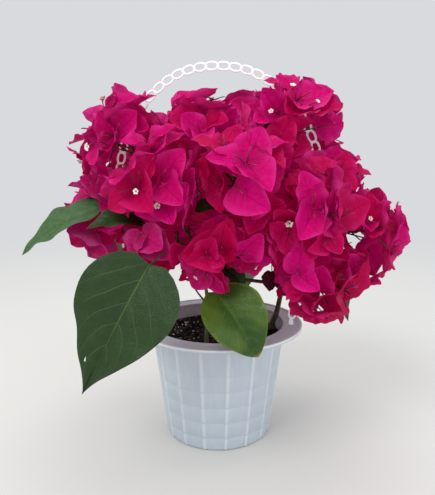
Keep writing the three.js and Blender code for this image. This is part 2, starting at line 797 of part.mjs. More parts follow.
// The first setting of a bract that keeps to the mass's space and clear of everything, if there is one
function fitBract(group, turn, mass, balls, placed) {
  for (const lengthShare of LENGTH_TRIES) {
    for (const extraTurn of TURN_TRIES) {
      for (const openShare of OPEN_TRIES) {
        const openDeg = group.openDeg * openShare;
        const bract = placeBract(group, turn + extraTurn, openDeg, group.length * lengthShare);
        if (bractSamples(bract).every((p) => inOwnSpace(mass, p) && isClear(p, balls))) {
          const made = fanOf(bract);
          if (!crosses(made, placed, group.place)) {
            return { ...bract, made };
          }
        }
      }
    }
  }
  return null;
}

// The three bracts of a group, with null where one finds no room
function bractsOf(group, twist, mass, balls, placed) {
  const bracts = [];
  const taken = [...placed];
  for (let k = 0; k < 3; k++) {
    const bract = fitBract(group, twist + (k * 2 * Math.PI) / 3, mass, balls, taken);
    bracts.push(bract);
    if (bract) {
      taken.push(bract.made);
    }
  }
  return bracts;
}

// The twist of a group that leaves room for the most bracts
function bestBracts(group, mass, balls, placed) {
  let best = [];
  let most = -1;
  for (const extra of TWIST_TRIES) {
    const bracts = bractsOf(group, group.twist + extra, mass, balls, placed);
    const count = bracts.filter((bract) => bract).length;
    if (count > most) {
      most = count;
      best = { bracts, twist: group.twist + extra };
    }
    if (count === 3) {
      break;
    }
  }
  return { ...best, count: most };
}

// The stem of a mass runs on from its bough's tip to just past the middle of the mass
function stemOf(mass, bough) {
  const along = bough.curve.getTangentAt(1);
  const start = bough.curve.getPointAt(1).addScaledVector(along, GAP);
  const bend = start.clone().addScaledVector(along, STEM_BEND);
  const end = toVector(mass.middle).addScaledVector(outwardOf(mass), STEM_PAST_MIDDLE);
  return new THREE.CatmullRomCurve3([start, bend, end]);
}

// Where a group's twig leaves the stem, on the straight pieces that the stem is made of
function twigRoot(stem, i, count) {
  const share = FIRST_TWIG_AT + ((LAST_TWIG_AT - FIRST_TWIG_AT) * (i + 0.5)) / count;
  const piece = Math.floor(share * STEM_STEPS);
  const from = stem.getPointAt(piece / STEM_STEPS);
  return from.lerp(stem.getPointAt((piece + 1) / STEM_STEPS), share * STEM_STEPS - piece);
}

function twigIsClear(root, place, mass, balls, placed) {
  const points = new THREE.LineCurve3(root, place).getSpacedPoints(6).slice(1);
  const made = { fan: [], edges: [[root, place]] };
  return points.every((p) => inOwnSpace(mass, p) && isClear(p, balls)) && !crosses(made, placed, place);
}

// The flower groups that find room in a mass, each with its twig's root and its bracts
function growMass(name, mass, stem, allBalls) {
  const middle = toVector(mass.middle);
  const farthest = Math.max(...mass.reach);
  const balls = allBalls.filter((ball) => ball.place.distanceTo(middle) < farthest + ball.radius);
  const placed = [];
  const grown = [];
  const groups = groupsOf(name, mass);
  groups.forEach((group, i) => {
    const root = twigRoot(stem, i, groups.length);
    if (!twigIsClear(root, group.place, mass, balls, placed)) {
      return;
    }
    const { bracts, twist, count } = bestBracts(group, mass, balls, placed);
    if (count >= FEWEST_BRACTS) {
      grown.push({ root, group, bracts, twist });
      placed.push(...bracts.filter((bract) => bract).map((bract) => bract.made));
      placed.push({ fan: [], edges: [[root, group.place]] });
    }
  });
  return grown;
}

// One flower group as a closed solid: a three-sided twig that widens into a hub, whose three sides run
// out into the bracts
function groupGeometry({ root, group, bracts, twist }) {
  const points = [group.place.clone().addScaledVector(group.axis, HUB_TOP)];
  const faces = [];
  const add = (point) => points.push(point) - 1;
  const along = group.place.clone().sub(root).normalize();
  const [first, second] = squareTo(group.axis);
  const around = (turn, radius, place) => {
    const point = place.clone().addScaledVector(first, radius * Math.cos(turn));
    return point.addScaledVector(second, radius * Math.sin(turn));
  };
  const under = group.place.clone().addScaledVector(along, -HUB_NECK);
  const turns = [0, 1, 2].map((k) => twist + (k * 2 * Math.PI) / 3);
  const corners = turns.map((turn) => add(around(turn + Math.PI / 3, HUB_RADIUS, group.place)));
  const below = turns.map((turn) => add(around(turn, TWIG_RADIUS, under)));
  const foot = turns.map((turn) => add(around(turn, TWIG_FOOT_RADIUS, root)));
  bracts.forEach((bract, k) => {
    const left = corners[(k + 2) % 3];
    const right = corners[k];
    const next = (k + 1) % 3;
    faces.push([below[next], below[k], right]);
    faces.push([below[k], below[next], foot[next]], [below[k], foot[next], foot[k]]);
    if (!bract) {
      faces.push([left, 0, below[k]], [0, right, below[k]]);
      return;
    }
    const rim = BRACT_OUTLINE.slice(1).map((share) => add(bractPoint(bract, share)));
    const middle = bractPoint(bract, BRACT_MIDDLE);
    const upper = add(middle.clone().addScaledVector(bract.up, BRACT_THICKNESS / 2));
    const lower = add(middle.clone().addScaledVector(bract.up, -BRACT_THICKNESS / 2));
    const ring = [right, ...rim, left];
    for (let i = 0; i < ring.length - 1; i++) {
      faces.push([upper, ring[i], ring[i + 1]], [lower, ring[i + 1], ring[i]]);
    }
    faces.push([upper, left, 0], [upper, 0, right], [lower, below[k], left], [lower, right, below[k]]);
  });
  faces.push(foot);
  return closedGeometry(points, faces);
}

function makeMass(name, mass, bough, balls) {
  const stem = stemOf(mass, bough);
  const radiusAt = (share) => THREE.MathUtils.lerp(STEM_RADII[0], STEM_RADII[1], share);
  const pieces = [toSolid(taperedTube(stem, radiusAt, 3, STEM_STEPS))];
  for (const grown of growMass(name, mass, stem, balls)) {
    pieces.push(closedSolid(groupGeometry(grown)));
  }
  return toGeometry(mainBody(wasm.Manifold.union(pieces)));
}

function bladeOfBract(bract) {
  const points = BRACT_OUTLINE.map((share) => bractPoint(bract, share));
  const count = points.length;
  const middle = bractPoint(bract, BRACT_MIDDLE);
  points.push(middle.clone().addScaledVector(bract.up, BRACT_THICKNESS / 2));
  points.push(middle.clone().addScaledVector(bract.up, -BRACT_THICKNESS / 2));
  const faces = [];
  for (let i = 0; i < count; i++) {
    const next = (i + 1) % count;
    faces.push([i, next, count], [next, i, count + 1]);
  }
  return closedGeometry(points, faces);
}

function makeFadedBract(limbs) {
  const root = toVector(FADED.root);
  const length = root.distanceTo(toVector(FADED.tip));
  const along = toVector(FADED.tip).sub(root).divideScalar(length);
  const [up, across] = squareTo(along);
  const bract = { root: root.clone().addScaledVector(along, -1), along, across, up, length };
  const [foot, out] = footOn(limbs[FADED.from], FADED.at, root, THREAD_RADIUS);
  const above = root.clone().setZ(root.z + THREAD_LIFT);
  const sunk = root.clone().addScaledVector(along, THREAD_SUNK);
  const thread = new THREE.CatmullRomCurve3([foot, out, above, sunk]);
  const threadSolid = toSolid(taperedTube(thread, () => THREAD_RADIUS, 3, 6));
  return toGeometry(mainBody(closedSolid(bladeOfBract(bract)).add(threadSolid)));
}

// Materials

const potPlastic = new THREE.MeshStandardMaterial({ color: 0xe9ecf1, roughness: 0.42, metalness: 0 });
const strapPlastic = new THREE.MeshStandardMaterial({ color: 0xf1f0f4, roughness: 0.45, metalness: 0 });
const soilMix = new THREE.MeshStandardMaterial({ color: 0x1c1512, roughness: 0.95, metalness: 0 });
const bark = new THREE.MeshStandardMaterial({ color: 0x6e5a3e, roughness: 0.85, metalness: 0 });
const greenLeaf = new THREE.MeshStandardMaterial({ color: 0x2f5a33, roughness: 0.55, metalness: 0 });
const fadedBract = new THREE.MeshStandardMaterial({ color: 0x5b1a31, roughness: 0.8, metalness: 0 });
const blossom = new THREE.MeshStandardMaterial({ color: 0xc4085c, roughness: 0.6, metalness: 0 });

const group = new THREE.Group();

function addNode(name, geometry, material) {
  const mesh = new THREE.Mesh(geometry, material.clone());
  mesh.name = name;
  group.add(mesh);
}

addNode("pot", makePot(), potPlastic);
addNode("soil", makeSoil(), soilMix);
addNode("carrying_strap", makeStrap(), strapPlastic);

const limbs = makeLimbs();
for (const [name, limb] of Object.entries(limbs)) {
  addNode(name, limb.makeGeometry(), bark);
}
for (const [name, leaf] of Object.entries(LEAVES)) {
  addNode(name, makeLeaf(leaf, limbs), greenLeaf);
}

addNode("faded_bract", makeFadedBract(limbs), fadedBract);

const balls = ballsOfAll(limbs);
for (const [name, mass] of Object.entries(MASSES)) {
  addNode("blossom_" + name, makeMass(name, mass, limbs[mass.on], balls), blossom);
}

export default group;
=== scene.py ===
"""A bougainvillea in full bloom in its ribbed plastic pot with a carrying strap of moulded rings.

Sizes are in millimetres in the frame of the solids and turn into metres when a mesh is built.
"""

import math
from functools import lru_cache

import bpy
import numpy as np
from bpy.props import FloatProperty, FloatVectorProperty, IntProperty, PointerProperty
from bpy.types import Operator, Panel, PropertyGroup
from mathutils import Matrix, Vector, noise


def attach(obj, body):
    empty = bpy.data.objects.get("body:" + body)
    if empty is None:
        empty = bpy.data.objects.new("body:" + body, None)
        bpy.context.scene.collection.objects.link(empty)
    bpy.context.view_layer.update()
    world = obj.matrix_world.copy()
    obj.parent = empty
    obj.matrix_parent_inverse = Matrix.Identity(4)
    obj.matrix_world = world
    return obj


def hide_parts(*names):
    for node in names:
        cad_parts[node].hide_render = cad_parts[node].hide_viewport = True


bl_info = {
    "name": "Potted bougainvillea",
    "version": (1, 0, 0),
    "blender": (4, 5, 0),
    "location": "3D View > Sidebar > Bush",
    "description": "Builds a bougainvillea in bloom in a ribbed pot with a ring strap",
    "category": "Add Mesh",
}

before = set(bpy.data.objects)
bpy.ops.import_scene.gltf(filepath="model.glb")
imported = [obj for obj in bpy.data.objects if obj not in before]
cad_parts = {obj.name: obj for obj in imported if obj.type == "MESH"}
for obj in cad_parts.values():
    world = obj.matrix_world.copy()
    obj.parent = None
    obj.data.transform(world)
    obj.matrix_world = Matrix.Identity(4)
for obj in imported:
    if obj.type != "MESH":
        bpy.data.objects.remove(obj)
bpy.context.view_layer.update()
MM = 0.001
TURN = 2 * math.pi

# Sizes that the solids have too
GAP = 0.3
POT_HEIGHT = 108
BASE_RADIUS = 49.3
WALL_TOP_RADIUS = 62.8
WALL = 1.9
FLOOR = 3
OPENING_RADIUS = 62
FLANGE_RADIUS = 80
FLANGE_UNDER = 105.2
FLANGE_DISH = 1
RIBS = 16
FIRST_RIB_DEG = 8
SOIL_TOP = 97
STRAP_TURN_DEG = -6
STRAP_THICKNESS = 1.6
RING_PITCH = 10.5
RING_HALF_WIDTH = 4.3
TONGUE_RADIUS = 69.5
TONGUE_HALF_WIDTH = 2.2
NUB_HALF_WIDTH = 4
NUB_HEIGHT = 2.6
FOOT_HEIGHT = 5
STRAP_PATH = [
    (TONGUE_RADIUS, POT_HEIGHT + FOOT_HEIGHT),
    (80, 152),
    (92, 196),
    (94.5, 240),
    (84, 281),
    (62, 316),
    (31, 337.5),
    (-4, 343.5),
    (-37, 336.5),
    (-66, 313.5),
    (-87, 276),
    (-94, 236),
    (-91, 192),
    (-80, 150),
    (-TONGUE_RADIUS, POT_HEIGHT + FOOT_HEIGHT),
]

# The rule by which flower groups grow, with the solids' own values
CROWN_HEART = (14, 4, 205)
BRACT_LENGTH = 34
BRACT_WIDTH = 0.88
BRACT_OPEN_DEG = 50
HUB_CLEAR = 4
BRACT_REACH = 40
FIRST_SEED = 7919
SEED_STEP = 613
GROUP_SPREAD = 0.46
GROUP_OUTWARD = 0.35
GROUP_LEAN = 0.5
GROUP_CAP_DEG = 108
GOLDEN_DEG = 137.508
FIRST_AWAY = 0.3
LEAN_BIAS = (0.5, 0.5, 0.2)
# The least of a group's distance, of its size and of how far it opens, and what chance adds
SPREAD_VARIES = (0.86, 0.28)
SIZE_VARIES = (0.92, 0.16)
OPEN_VARIES = (0.85, 0.3)
SPACE_MARGIN = 0.02
STEM_STEPS = 2
STEM_BEND = 6
STEM_PAST_MIDDLE = 4
FIRST_TWIG_AT = 0.3
LAST_TWIG_AT = 0.98
OPEN_TRIES = (1, 0.8, 1.22, 0.6, 1.4)
TURN_TRIES = (0, 0.35, -0.35)
LENGTH_TRIES = (1, 0.84)
TWIST_TRIES = (0, 0.52, 1.05, 1.57)
FEWEST_BRACTS = 2

# Each mass of blossom: middle, reach and number of flower groups
MASSES = {
    "top_left": ((-84, -16, 284), (52, 50, 47), 14),
    "top_centre": ((-18, -18, 286), (48, 45, 43), 13),
    "top_right": ((62, -8, 291), (53, 50, 48), 14),
    "right_shoulder": ((99, -2, 247), (45, 50, 44), 13),
    "far_right": ((133, -6, 197), (47, 52, 48), 14),
    "low_right": ((91, -40, 162), (54, 50, 44), 14),
    "front_right": ((74, -58, 222), (50, 52, 50), 14),
    "front_centre": ((14, -62, 248), (52, 54, 50), 14),
    "front_low": ((4, -58, 192), (52, 52, 45), 14),
    "front_left": ((-49, -52, 245), (50, 54, 50), 14),
    "low_left": ((-50, -48, 198), (48, 48, 41), 11),
    "left": ((-100, -14, 216), (48, 52, 50), 13),
    "back_left": ((-72, 48, 246), (58, 58, 56), 14),
    "back_left_low": ((-58, 52, 192), (54, 52, 43), 13),
    "back_centre": ((4, 62, 258), (52, 56, 54), 14),
    "back_right": ((78, 52, 252), (56, 56, 54), 14),
    "back_right_low": ((92, 46, 192), (56, 54, 48), 13),
    "back_low": ((18, 64, 196), (52, 52, 45), 13),
    "top_back": ((24, 34, 290), (48, 44, 40), 9),
}
MASS_NAMES = list(MASSES)
MIDDLES = np.array([mass[0] for mass in MASSES.values()], float)
REACHES = np.array([mass[1] for mass in MASSES.values()], float)

# Limbs: the limb and the place on it that each leaves, its path, radii and flare at the foot
LIMBS = {
    "main_stem": (None, 0, [
        (53, 9, SOIL_TOP + GAP), (53.4, 9, 103), (56.4, 8.6, 111.5),
        (59.4, 8, 126), (61.6, 8, 141), (60.6, 7, 156),
    ], (2.7, 2.1), 1.6),
    "thin_stem": (None, 0, [
        (-10.9, -32, SOIL_TOP + GAP), (-10.9, -32, 104), (-10.7, -32, 145),
        (-16, -31, 176), (-34, -28, 210), (-58, -22, 246),
    ], (1.6, 1.1), 0.8),
    "bough_top_centre": ("main_stem", 1, [
        (56, 8, 172), (46, 8, 196), (28, 4, 226), (4, -6, 252),
    ], (1.9, 1.2), 0),
    "bough_left": ("main_stem", 0.84, [
        (46, 3, 145.5), (34, 2, 147), (16, 2, 149.5), (-18, 0, 162), (-60, -6, 192),
    ], (1.8, 1.1), 0),
    "bough_far_right": ("main_stem", 0.88, [
        (72, 4.6, 161), (80, 4, 170), (96, 2, 182), (109, 0, 190),
    ], (1.6, 1.1), 0),
}
# The boughs to the other masses: the limb and the place on it that each leaves
BOUGHS = {
    "top_right": ("bough_top_centre", 0.5),
    "right_shoulder": ("bough_far_right", 0.66),
    "low_right": ("bough_far_right", 0.4),
    "front_right": ("bough_top_centre", 0.22),
    "front_centre": ("bough_top_centre", 0.74),
    "front_low": ("thin_stem", 0.42),
    "low_left": ("thin_stem", 0.52),
    "front_left": ("thin_stem", 0.8),
    "back_left": ("bough_left", 0.82),
    "back_left_low": ("bough_left", 0.68),
    "back_centre": ("bough_top_centre", 0.66),
    "back_right": ("bough_top_centre", 0.36),
    "back_right_low": ("bough_far_right", 0.52),
    "back_low": ("bough_left", 0.46),
    "top_back": ("bough_top_centre", 0.86),
}
# The mass that has no bough of its own name
STEM_BORNE = {"top_left": "thin_stem"}
BOUGH_RADII = (1.4, 1)
BOUGH_RISE = 0.1
BOUGH_TIP_SHARE = {"low_left": 0.2}
USUAL_TIP_SHARE = 0.62
FLARE_FADE = 22

# Leaves: limb, place on it, base, tip, the way the upper face looks, width, taper, fold and droop
LEAVES = {
    "leaf_front_left": ("thin_stem", 0.5, (-52, -108, 187), (-106, -112, 84),
                        (0.05, -1.1, 0.35), 0.66, 1.5, 0.1, 0.07),
    "leaf_front_centre": ("thin_stem", 0.36, (-2, -64, 154), (32, -91, 107),
                          (0, -0.78, 0.54), 0.8, 0.75, 0.2, 0.12),
    "leaf_left": ("bough_left", 0.97, (-102, -30, 221), (-171, -40, 180),
                  (-0.2, -0.5, 0.85), 0.46, 1, 0.12, 0.08),
    "leaf_left_inner": ("bough_left", 0.9, (-64, -42, 209), (-108, -66, 207),
                        (-0.1, -0.55, 0.8), 0.6, 1.1, 0.16, 0.12),
    "leaf_shade": ("bough_left", 0.5, (4, -24, 168), (24, -34, 149),
                   (0.2, -0.9, 0.4), 0.8, 1, 0.14, 0.1),
    "leaf_low_right": ("bough_far_right", 0.5, (92, -8, 148), (114, -46, 122),
                       (0.5, -0.3, 0.8), 0.66, 1.2, 0.14, 0.12),
    "leaf_back_left": ("bough_left", 0.8, (-74, 62, 184), (-112, 104, 140),
                       (-0.5, 0.6, 0.6), 0.74, 1.2, 0.12, 0.12),
    "leaf_back_right": ("bough_far_right", 0.42, (84, 62, 172), (118, 96, 118),
                        (0.5, 0.6, 0.6), 0.76, 1.2, 0.12, 0.12),
    "leaf_back_low": ("bough_left", 0.3, (24, 62, 146), (18, 92, 100),
                      (0, 0.85, 0.5), 0.8, 1.2, 0.14, 0.12),
}
LEAF_BASE_POWER = 0.5
STALK_RADIUS = 1.1
STALK_RISE = 0.12
STALK_BENDS_AT = 0.6
LEAF_CLEAR = 6.5
FADED_ROOT = (50, -8, 158)
FADED_TIP = (51, -9, 139.5)
STRAP_CLEAR = 1.6
LIMB_CLEAR = 1.8
STALK_CLEAR = 2

# Where the camera looks through the crown or past it: a place on the line of sight, and last the
# radius round that line, in front of the place, that the blossom leaves open
VIEWPOINT = (-0.8, -509, 274)
WINDOW_BEHIND = 2
SIGHT_WINDOWS = np.array([
    (80, -8.4, 290, 5), (81.5, -8.4, 285, 5), (-90, 9.5, 270, 5.5),
    (-90.3, 9.5, 262, 7), (10, -30, 164, 5), (18, -36, 156, 6),
    (50.5, -9, 149, 6.5), (28, -4, 148, 3), (38, -4, 146.5, 3),
    (59, 4, 130, 5), (-112, -34, 216, 6), (-124, -36, 212, 7),
    (69, -10, 116, 5), (155, 130, 172, 5), (164, 130, 161, 5),
    (-60, 130, 318, 6), (146, 130, 279, 6), (162, 130, 268, 8),
    (-159, 130, 302, 7), (-149, 130, 323, 7), (-175, 130, 240, 7),
    (-179, 130, 218, 7), (91, 130, 362, 6), (178, 130, 88, 8),
    (-48, 130, 128, 6), (-116, 130, 157, 4), (-13, -46, 226.4, 5),
    (-20.6, -46, 223, 4.5),
])

# Sprays between those of the rule: the mass, the place and the way they look
EXTRA_SPRAYS = {
    "top_left": (((-70, -18, 303), (0.2, -0.4, 0.9)), ((-112, -14, 270), (-0.9, -0.5, 0.1))),
    "top_centre": (((-24, -20, 303), (-0.2, -0.5, 0.85)), ((4, -16, 302), (0.2, -0.4, 0.9))),
    "top_right": (
        ((56, -6, 314), (0, -0.3, 0.95)),
        ((92, -8, 298), (0.85, -0.4, 0.3)),
        ((58, -34, 302), (0, -0.8, 0.6)),
        ((94, 6, 276), (0.8, -0.6, 0)),
        ((66, -26, 311), (0.3, -0.7, 0.6)),
    ),
    "right_shoulder": (((106, 4, 262), (0.5, -0.4, 0.75)),),
    "far_right": (((146, -14, 168), (0.45, -0.5, -0.7)), ((154, -10, 212), (0.7, -0.4, 0.5))),
    "low_right": (((76, -46, 142), (-0.3, -0.7, -0.6)), ((100, -62, 150), (0.2, -0.9, -0.3))),
}

# Rounds of finer groups that fill each mass: how many are tried, how far out they lie, their
# bracts' length against a full one and how far they open
FINE_ROUNDS = (
    (16, 0.62, 0.84, 58),
    (14, 0.26, 0.8, 54),
    (16, 0.5, 0.64, 60),
)
# Rounds that close the seams between the masses once all have grown
SEAM_ROUNDS = (
    (22, 0.86, 0.86, 56),
    (22, 0.7, 0.7, 60),
)
FINE_TWISTS = (0, 0.7)
FINE_CAP_DEG = 128
SEAM_CAP_DEG = 150
SEAM_DEPTH = 0.97
FINE_SEED_STEP = 101
# Where finer groups can root: on a twig, and at this many places on a stem
TWIG_SHARES = np.array([0.25, 0.45, 0.65])
STEM_ROOTS = 8
# How far a bract's root lies behind its group's place, and the points of a twig that are checked
ROOT_SUNK = 0.4
TWIG_CHECKS = 7
# Masses can touch when they're closer than this share of their greatest reaches together
NEAR_ENOUGH = 1.1


# Sizes and colours that a user can change


def colour(name, description, value):
    return FloatVectorProperty(
        name=name, description=description, subtype="COLOR", size=3, min=0, max=1, default=value
    )


def number(name, description, value, largest, **more):
    return FloatProperty(
        name=name, description=description, default=value, min=0, max=largest, **more
    )


def length(name, description, value, largest):
    return number(name, description, value, largest, unit="LENGTH")


class PotSettings(PropertyGroup):
    """Pot, soil and strap"""

    rib_height: length("Rib height", "How far a rib stands out of the wall", 0.0008, 0.003)
    rib_width: length("Rib width", "Width of a rib at the wall", 0.0046, 0.01)
    groove_depth: length("Groove depth", "Depth of the faint rings round the wall", 0.00022, 0.001)
    ring_bar: length("Ring bar", "Thickness of the bar that each ring is made of", 0.00195, 0.003)
    plastic: colour("Pot plastic", "Colour of the pot", (0.56, 0.635, 0.71))
    strap: colour("Strap plastic", "Colour of the strap", (0.88, 0.89, 0.9))
    soil: colour("Soil", "Colour of the moist potting mix", (0.0032, 0.0026, 0.0023))
    grains: IntProperty(name="Grains", description="Pale grains on the soil", default=150, min=0)


class CrownSettings(PropertyGroup):
    """Bracts, flowers and twigs"""

    ripple: number("Ripple", "Waves at a bract's edge, as a share of its length", 0.065, 0.2)
    cup: number("Cup", "How far a bract's edges rise, as a share of its length", 0.23, 0.4)
    tube_length: length("Flower tube", "Length of a closed flower", 0.0155, 0.03)
    star_radius: length("Flower star", "Radius of an open flower", 0.0038, 0.01)
    open_share: number("Open flowers", "Share of the outer groups with an open flower", 0.3, 1)
    twig_radius: length("Twig radius", "Radius of a flower group's twig", 0.0007, 0.002)


class LeafSettings(PropertyGroup):
    """Leaves and bark"""

    quilting: length("Quilting", "Rise of the blade between its veins", 0.0016, 0.004)
    green: colour("Leaf green", "Upper face of the older leaves", (0.021, 0.058, 0.011))
    # A paler green for the upward-facing leaves, painted sheen of the light that grazes them
    sheen_green: colour("Young green", "Upper face of the younger leaves", (0.062, 0.155, 0.045))
    bark: colour("Bark", "Older bark", (0.13, 0.082, 0.045))
    shoot: colour("Shoot", "Young green bark", (0.13, 0.17, 0.055))


class BushSettings(PropertyGroup):
    """All settings of the potted bush"""

    pot: PointerProperty(type=PotSettings)
    crown: PointerProperty(type=CrownSettings)
    leaf: PointerProperty(type=LeafSettings)


# Vectors, numbers and paths

DRAW_RANGE = 2**32
DRAW_FACTOR = 1664525
DRAW_STEP = 1013904223
PATH_MARKS = 201
PATH_NUDGE = 1e-4


def unit(vectors):
    vectors = np.asarray(vectors, float)
    return vectors / np.linalg.norm(vectors, axis=-1, keepdims=True)


def cross(a, b):
    """Cross products, quicker than numpy's own on small arrays."""
    ax, ay, az = a[..., 0], a[..., 1], a[..., 2]
    bx, by, bz = b[..., 0], b[..., 1], b[..., 2]
    return np.stack([ay * bz - az * by, az * bx - ax * bz, ax * by - ay * bx], axis=-1)


def dot(a, b):
    return np.einsum("...i,...i->...", a, b)


def square_to(axis):
    """Two directions square to an axis."""
    helper = (0, 0, 1) if abs(axis[2]) < 0.9 else (1, 0, 0)
    first = unit(np.cross(helper, axis))
    return first, np.cross(axis, first)


class Numbers:
    """Numbers between 0 and 1 that are the same on every run."""

    def __init__(self, seed):
        self.state = seed % DRAW_RANGE

    def draw(self):
        self.state = (self.state * DRAW_FACTOR + DRAW_STEP) % DRAW_RANGE
        return self.state / DRAW_RANGE

    def varied(self, least, more):
        return least + more * self.draw()


class Path:
    """A smooth curve through points, measured along its length."""

    def __init__(self, points):
        points = np.array(points, float)
        first = 2 * points[0] - points[1]
        last = 2 * points[-1] - points[-2]
        self.padded = np.vstack([first, points, last])
        self.pieces = len(points) - 1
        self.marks = np.linspace(0, 1, PATH_MARKS)
        steps = np.linalg.norm(np.diff(self.raw(self.marks), axis=0), axis=1)
        self.lengths = np.concatenate([[0], np.cumsum(steps)])
        self.length = self.lengths[-1]

    def raw(self, share):
        spot = np.atleast_1d(share) * self.pieces
        piece = np.minimum(np.floor(spot).astype(int), self.pieces - 1)
        weight = (spot - piece)[:, None]
        p0, p1, p2, p3 = (self.padded[piece + k] for k in range(4))
        d0, d1, d2 = (
            np.linalg.norm(b - a, axis=1)[:, None] ** 0.5 for a, b in ((p0, p1), (p1, p2), (p2, p3))
        )
        t1 = ((p1 - p0) / d0 - (p2 - p0) / (d0 + d1) + (p2 - p1) / d1) * d1
        t2 = ((p2 - p1) / d1 - (p3 - p1) / (d1 + d2) + (p3 - p2) / d2) * d1
        c2 = -3 * p1 + 3 * p2 - 2 * t1 - t2
        c3 = 2 * p1 - 2 * p2 + t1 + t2
        return p1 + weight * (t1 + weight * (c2 + weight * c3))

    def at(self, share):
        marks = np.interp(np.atleast_1d(share) * self.length, self.lengths, self.marks)
        points = self.raw(marks)
        return points if np.ndim(share) else points[0]

    def tangent(self, share):
        mark = np.interp(share * self.length, self.lengths, self.marks)
        pair = self.raw(np.clip([mark - PATH_NUDGE, mark + PATH_NUDGE], 0, 1))
        return unit(pair[1] - pair[0])

    def spaced(self, step):
        return self.at(np.linspace(0, 1, math.ceil(self.length / step) + 1))


# Limbs and what the blossom keeps clear of, by the same rule as in the solids


class Limb:
    """A tapering limb along a path."""

    def __init__(self, points, radii, flare=0):
        self.path = Path(points)
        self.radii = radii
        self.flare = flare

    def radius(self, share):
        foot, tip = self.radii
        return foot + (tip - foot) * share + self.flare * np.exp(-share * FLARE_FADE)


def outward_of(index):
    return unit(MIDDLES[index] - CROWN_HEART)


def mass_entry(name):
    index = MASS_NAMES.index(name)
    share = BOUGH_TIP_SHARE.get(name, USUAL_TIP_SHARE)
    return MIDDLES[index] - share * outward_of(index) * REACHES[index]


def foot_on(limb, at, goal, radius):
    """A foot just clear of the carrying limb, on the side that faces a goal, or on its tip."""
    place = limb.path.at(at)
    along = limb.path.tangent(at)
    away = np.asarray(goal, float) - place
    away = unit(away - along * away.dot(along))
    clear = limb.radius(at) + GAP if at < 1 else GAP
    direction = away if at < 1 else along
    return [place + direction * clear, place + direction * (clear + 3 * radius + 1)]


def make_limbs():
    limbs = {}
    for name, (carrier, at, path, radii, flare) in LIMBS.items():
        start = foot_on(limbs[carrier], at, path[0], radii[0]) if carrier else []
        limbs[name] = Limb([*start, *path], radii, flare)
    for name, (carrier, at) in BOUGHS.items():
        entry = mass_entry(name)
        foot, out = foot_on(limbs[carrier], at, entry, BOUGH_RADII[0])
        middle = (out + entry) / 2
        middle[2] += BOUGH_RISE * np.linalg.norm(entry - out)
        limbs["bough_" + name] = Limb([foot, out, middle, entry], BOUGH_RADII)
    return limbs


def leaf_profile(share, taper, base_power=LEAF_BASE_POWER):
    """Half of a blade's width at a share of its length, against its greatest half width."""
    def form(at):
        return at**base_power * (1 - at) ** taper

    return form(share) / form(base_power / (base_power + taper))


class LeafBlade:
    """A leaf's midrib frame and its upper face."""

    def __init__(self, base, tip, up, width, taper, fold, droop):
        self.base = np.array(base, float)
        reach = np.array(tip, float) - self.base
        self.length = np.linalg.norm(reach)
        self.along = reach / self.length
        self.across = unit(np.cross(self.along, up))
        self.up = unit(np.cross(self.across, self.along))
        self.width, self.taper, self.fold, self.droop = width, taper, fold, droop

    def local(self, share, side):
        """Along, across and up for shares from base to tip and sides from -1 to 1."""
        half = 0.5 * self.width * self.length * leaf_profile(share, self.taper)
        rise = self.length * self.droop * np.sin(math.pi * share)
        rise = rise + np.abs(side) * 2 * half * self.fold
        return share * self.length, side * half, rise

    def place(self, x, y, z):
        x, y, z = (np.asarray(v, float)[..., None] for v in (x, y, z))
        return self.base + x * self.along + y * self.across + z * self.up

    def point(self, share, side):
        return self.place(*self.local(np.asarray(share, float), np.asarray(side, float)))


def stalk_path(name, limbs):
    carrier, at, *shape = LEAVES[name]
    blade = LeafBlade(*shape)
    foot, out = foot_on(limbs[carrier], at, blade.base, STALK_RADIUS)
    middle = out + STALK_BENDS_AT * (blade.base - out)
    middle[2] += STALK_RISE * np.linalg.norm(blade.base - out)
    return Path([foot, out, middle, blade.point(0.03, 0) - 0.4 * blade.up])


def strap_in_space():
    turn = math.radians(STRAP_TURN_DEG)
    return Path([(x * math.cos(turn), x * math.sin(turn), z) for x, z in STRAP_PATH])


def clearance_balls(limbs):
    """Places and radii that blossom stays out of: strap, limbs, stalks and leaves."""
    balls = [(strap_in_space().spaced(4), RING_HALF_WIDTH + STRAP_CLEAR)]
    for limb in limbs.values():
        balls.append((limb.path.spaced(3), limb.radii[0] + LIMB_CLEAR))
    shares, sides = np.meshgrid(np.linspace(0, 1, 11), (-1, -0.67, -0.33, 0, 0.33, 0.67, 1))
    for name, (_, _, *shape) in LEAVES.items():
        balls.append((stalk_path(name, limbs).spaced(3), STALK_RADIUS + STALK_CLEAR))
        balls.append((LeafBlade(*shape).point(shares.ravel(), sides.ravel()), LEAF_CLEAR))
    places = np.vstack([points for points, _ in balls])
    radii = np.concatenate([np.full(len(points), radius) for points, radius in balls])
    return places, radii


# Blossom groups, by the same rule as in the solids and carried on to finer twigs

BRACT_OUTLINE = np.array([
    (0, 0, 0), (0.34, 0.5, 0.07), (0.7, 0.36, 0.02),
    (1, 0, -0.1), (0.7, -0.36, 0.02), (0.34, -0.5, 0.07),
])
BRACT_MIDDLE = np.array((0.46, 0, -0.03))
NEXT_CORNER = np.roll(BRACT_OUTLINE, -1, axis=0)
EDGE_MIDDLES = (BRACT_OUTLINE + NEXT_CORNER) / 2
BRACT_SAMPLES = np.vstack([BRACT_OUTLINE, EDGE_MIDDLES])
BRACT_SAMPLES = np.vstack([BRACT_SAMPLES, (BRACT_SAMPLES + BRACT_MIDDLE) / 2])
BRACT_FAN = np.stack([BRACT_OUTLINE, NEXT_CORNER, np.tile(BRACT_MIDDLE, (6, 1))], axis=1)
BRACT_EDGES = np.vstack([BRACT_FAN[:, (0, 1)], BRACT_FAN[:, (0, 2)]])


def settings_of_tries():
    tries = [(a, b, c) for a in LENGTH_TRIES for b in TURN_TRIES for c in OPEN_TRIES]
    return np.array(tries, float).T


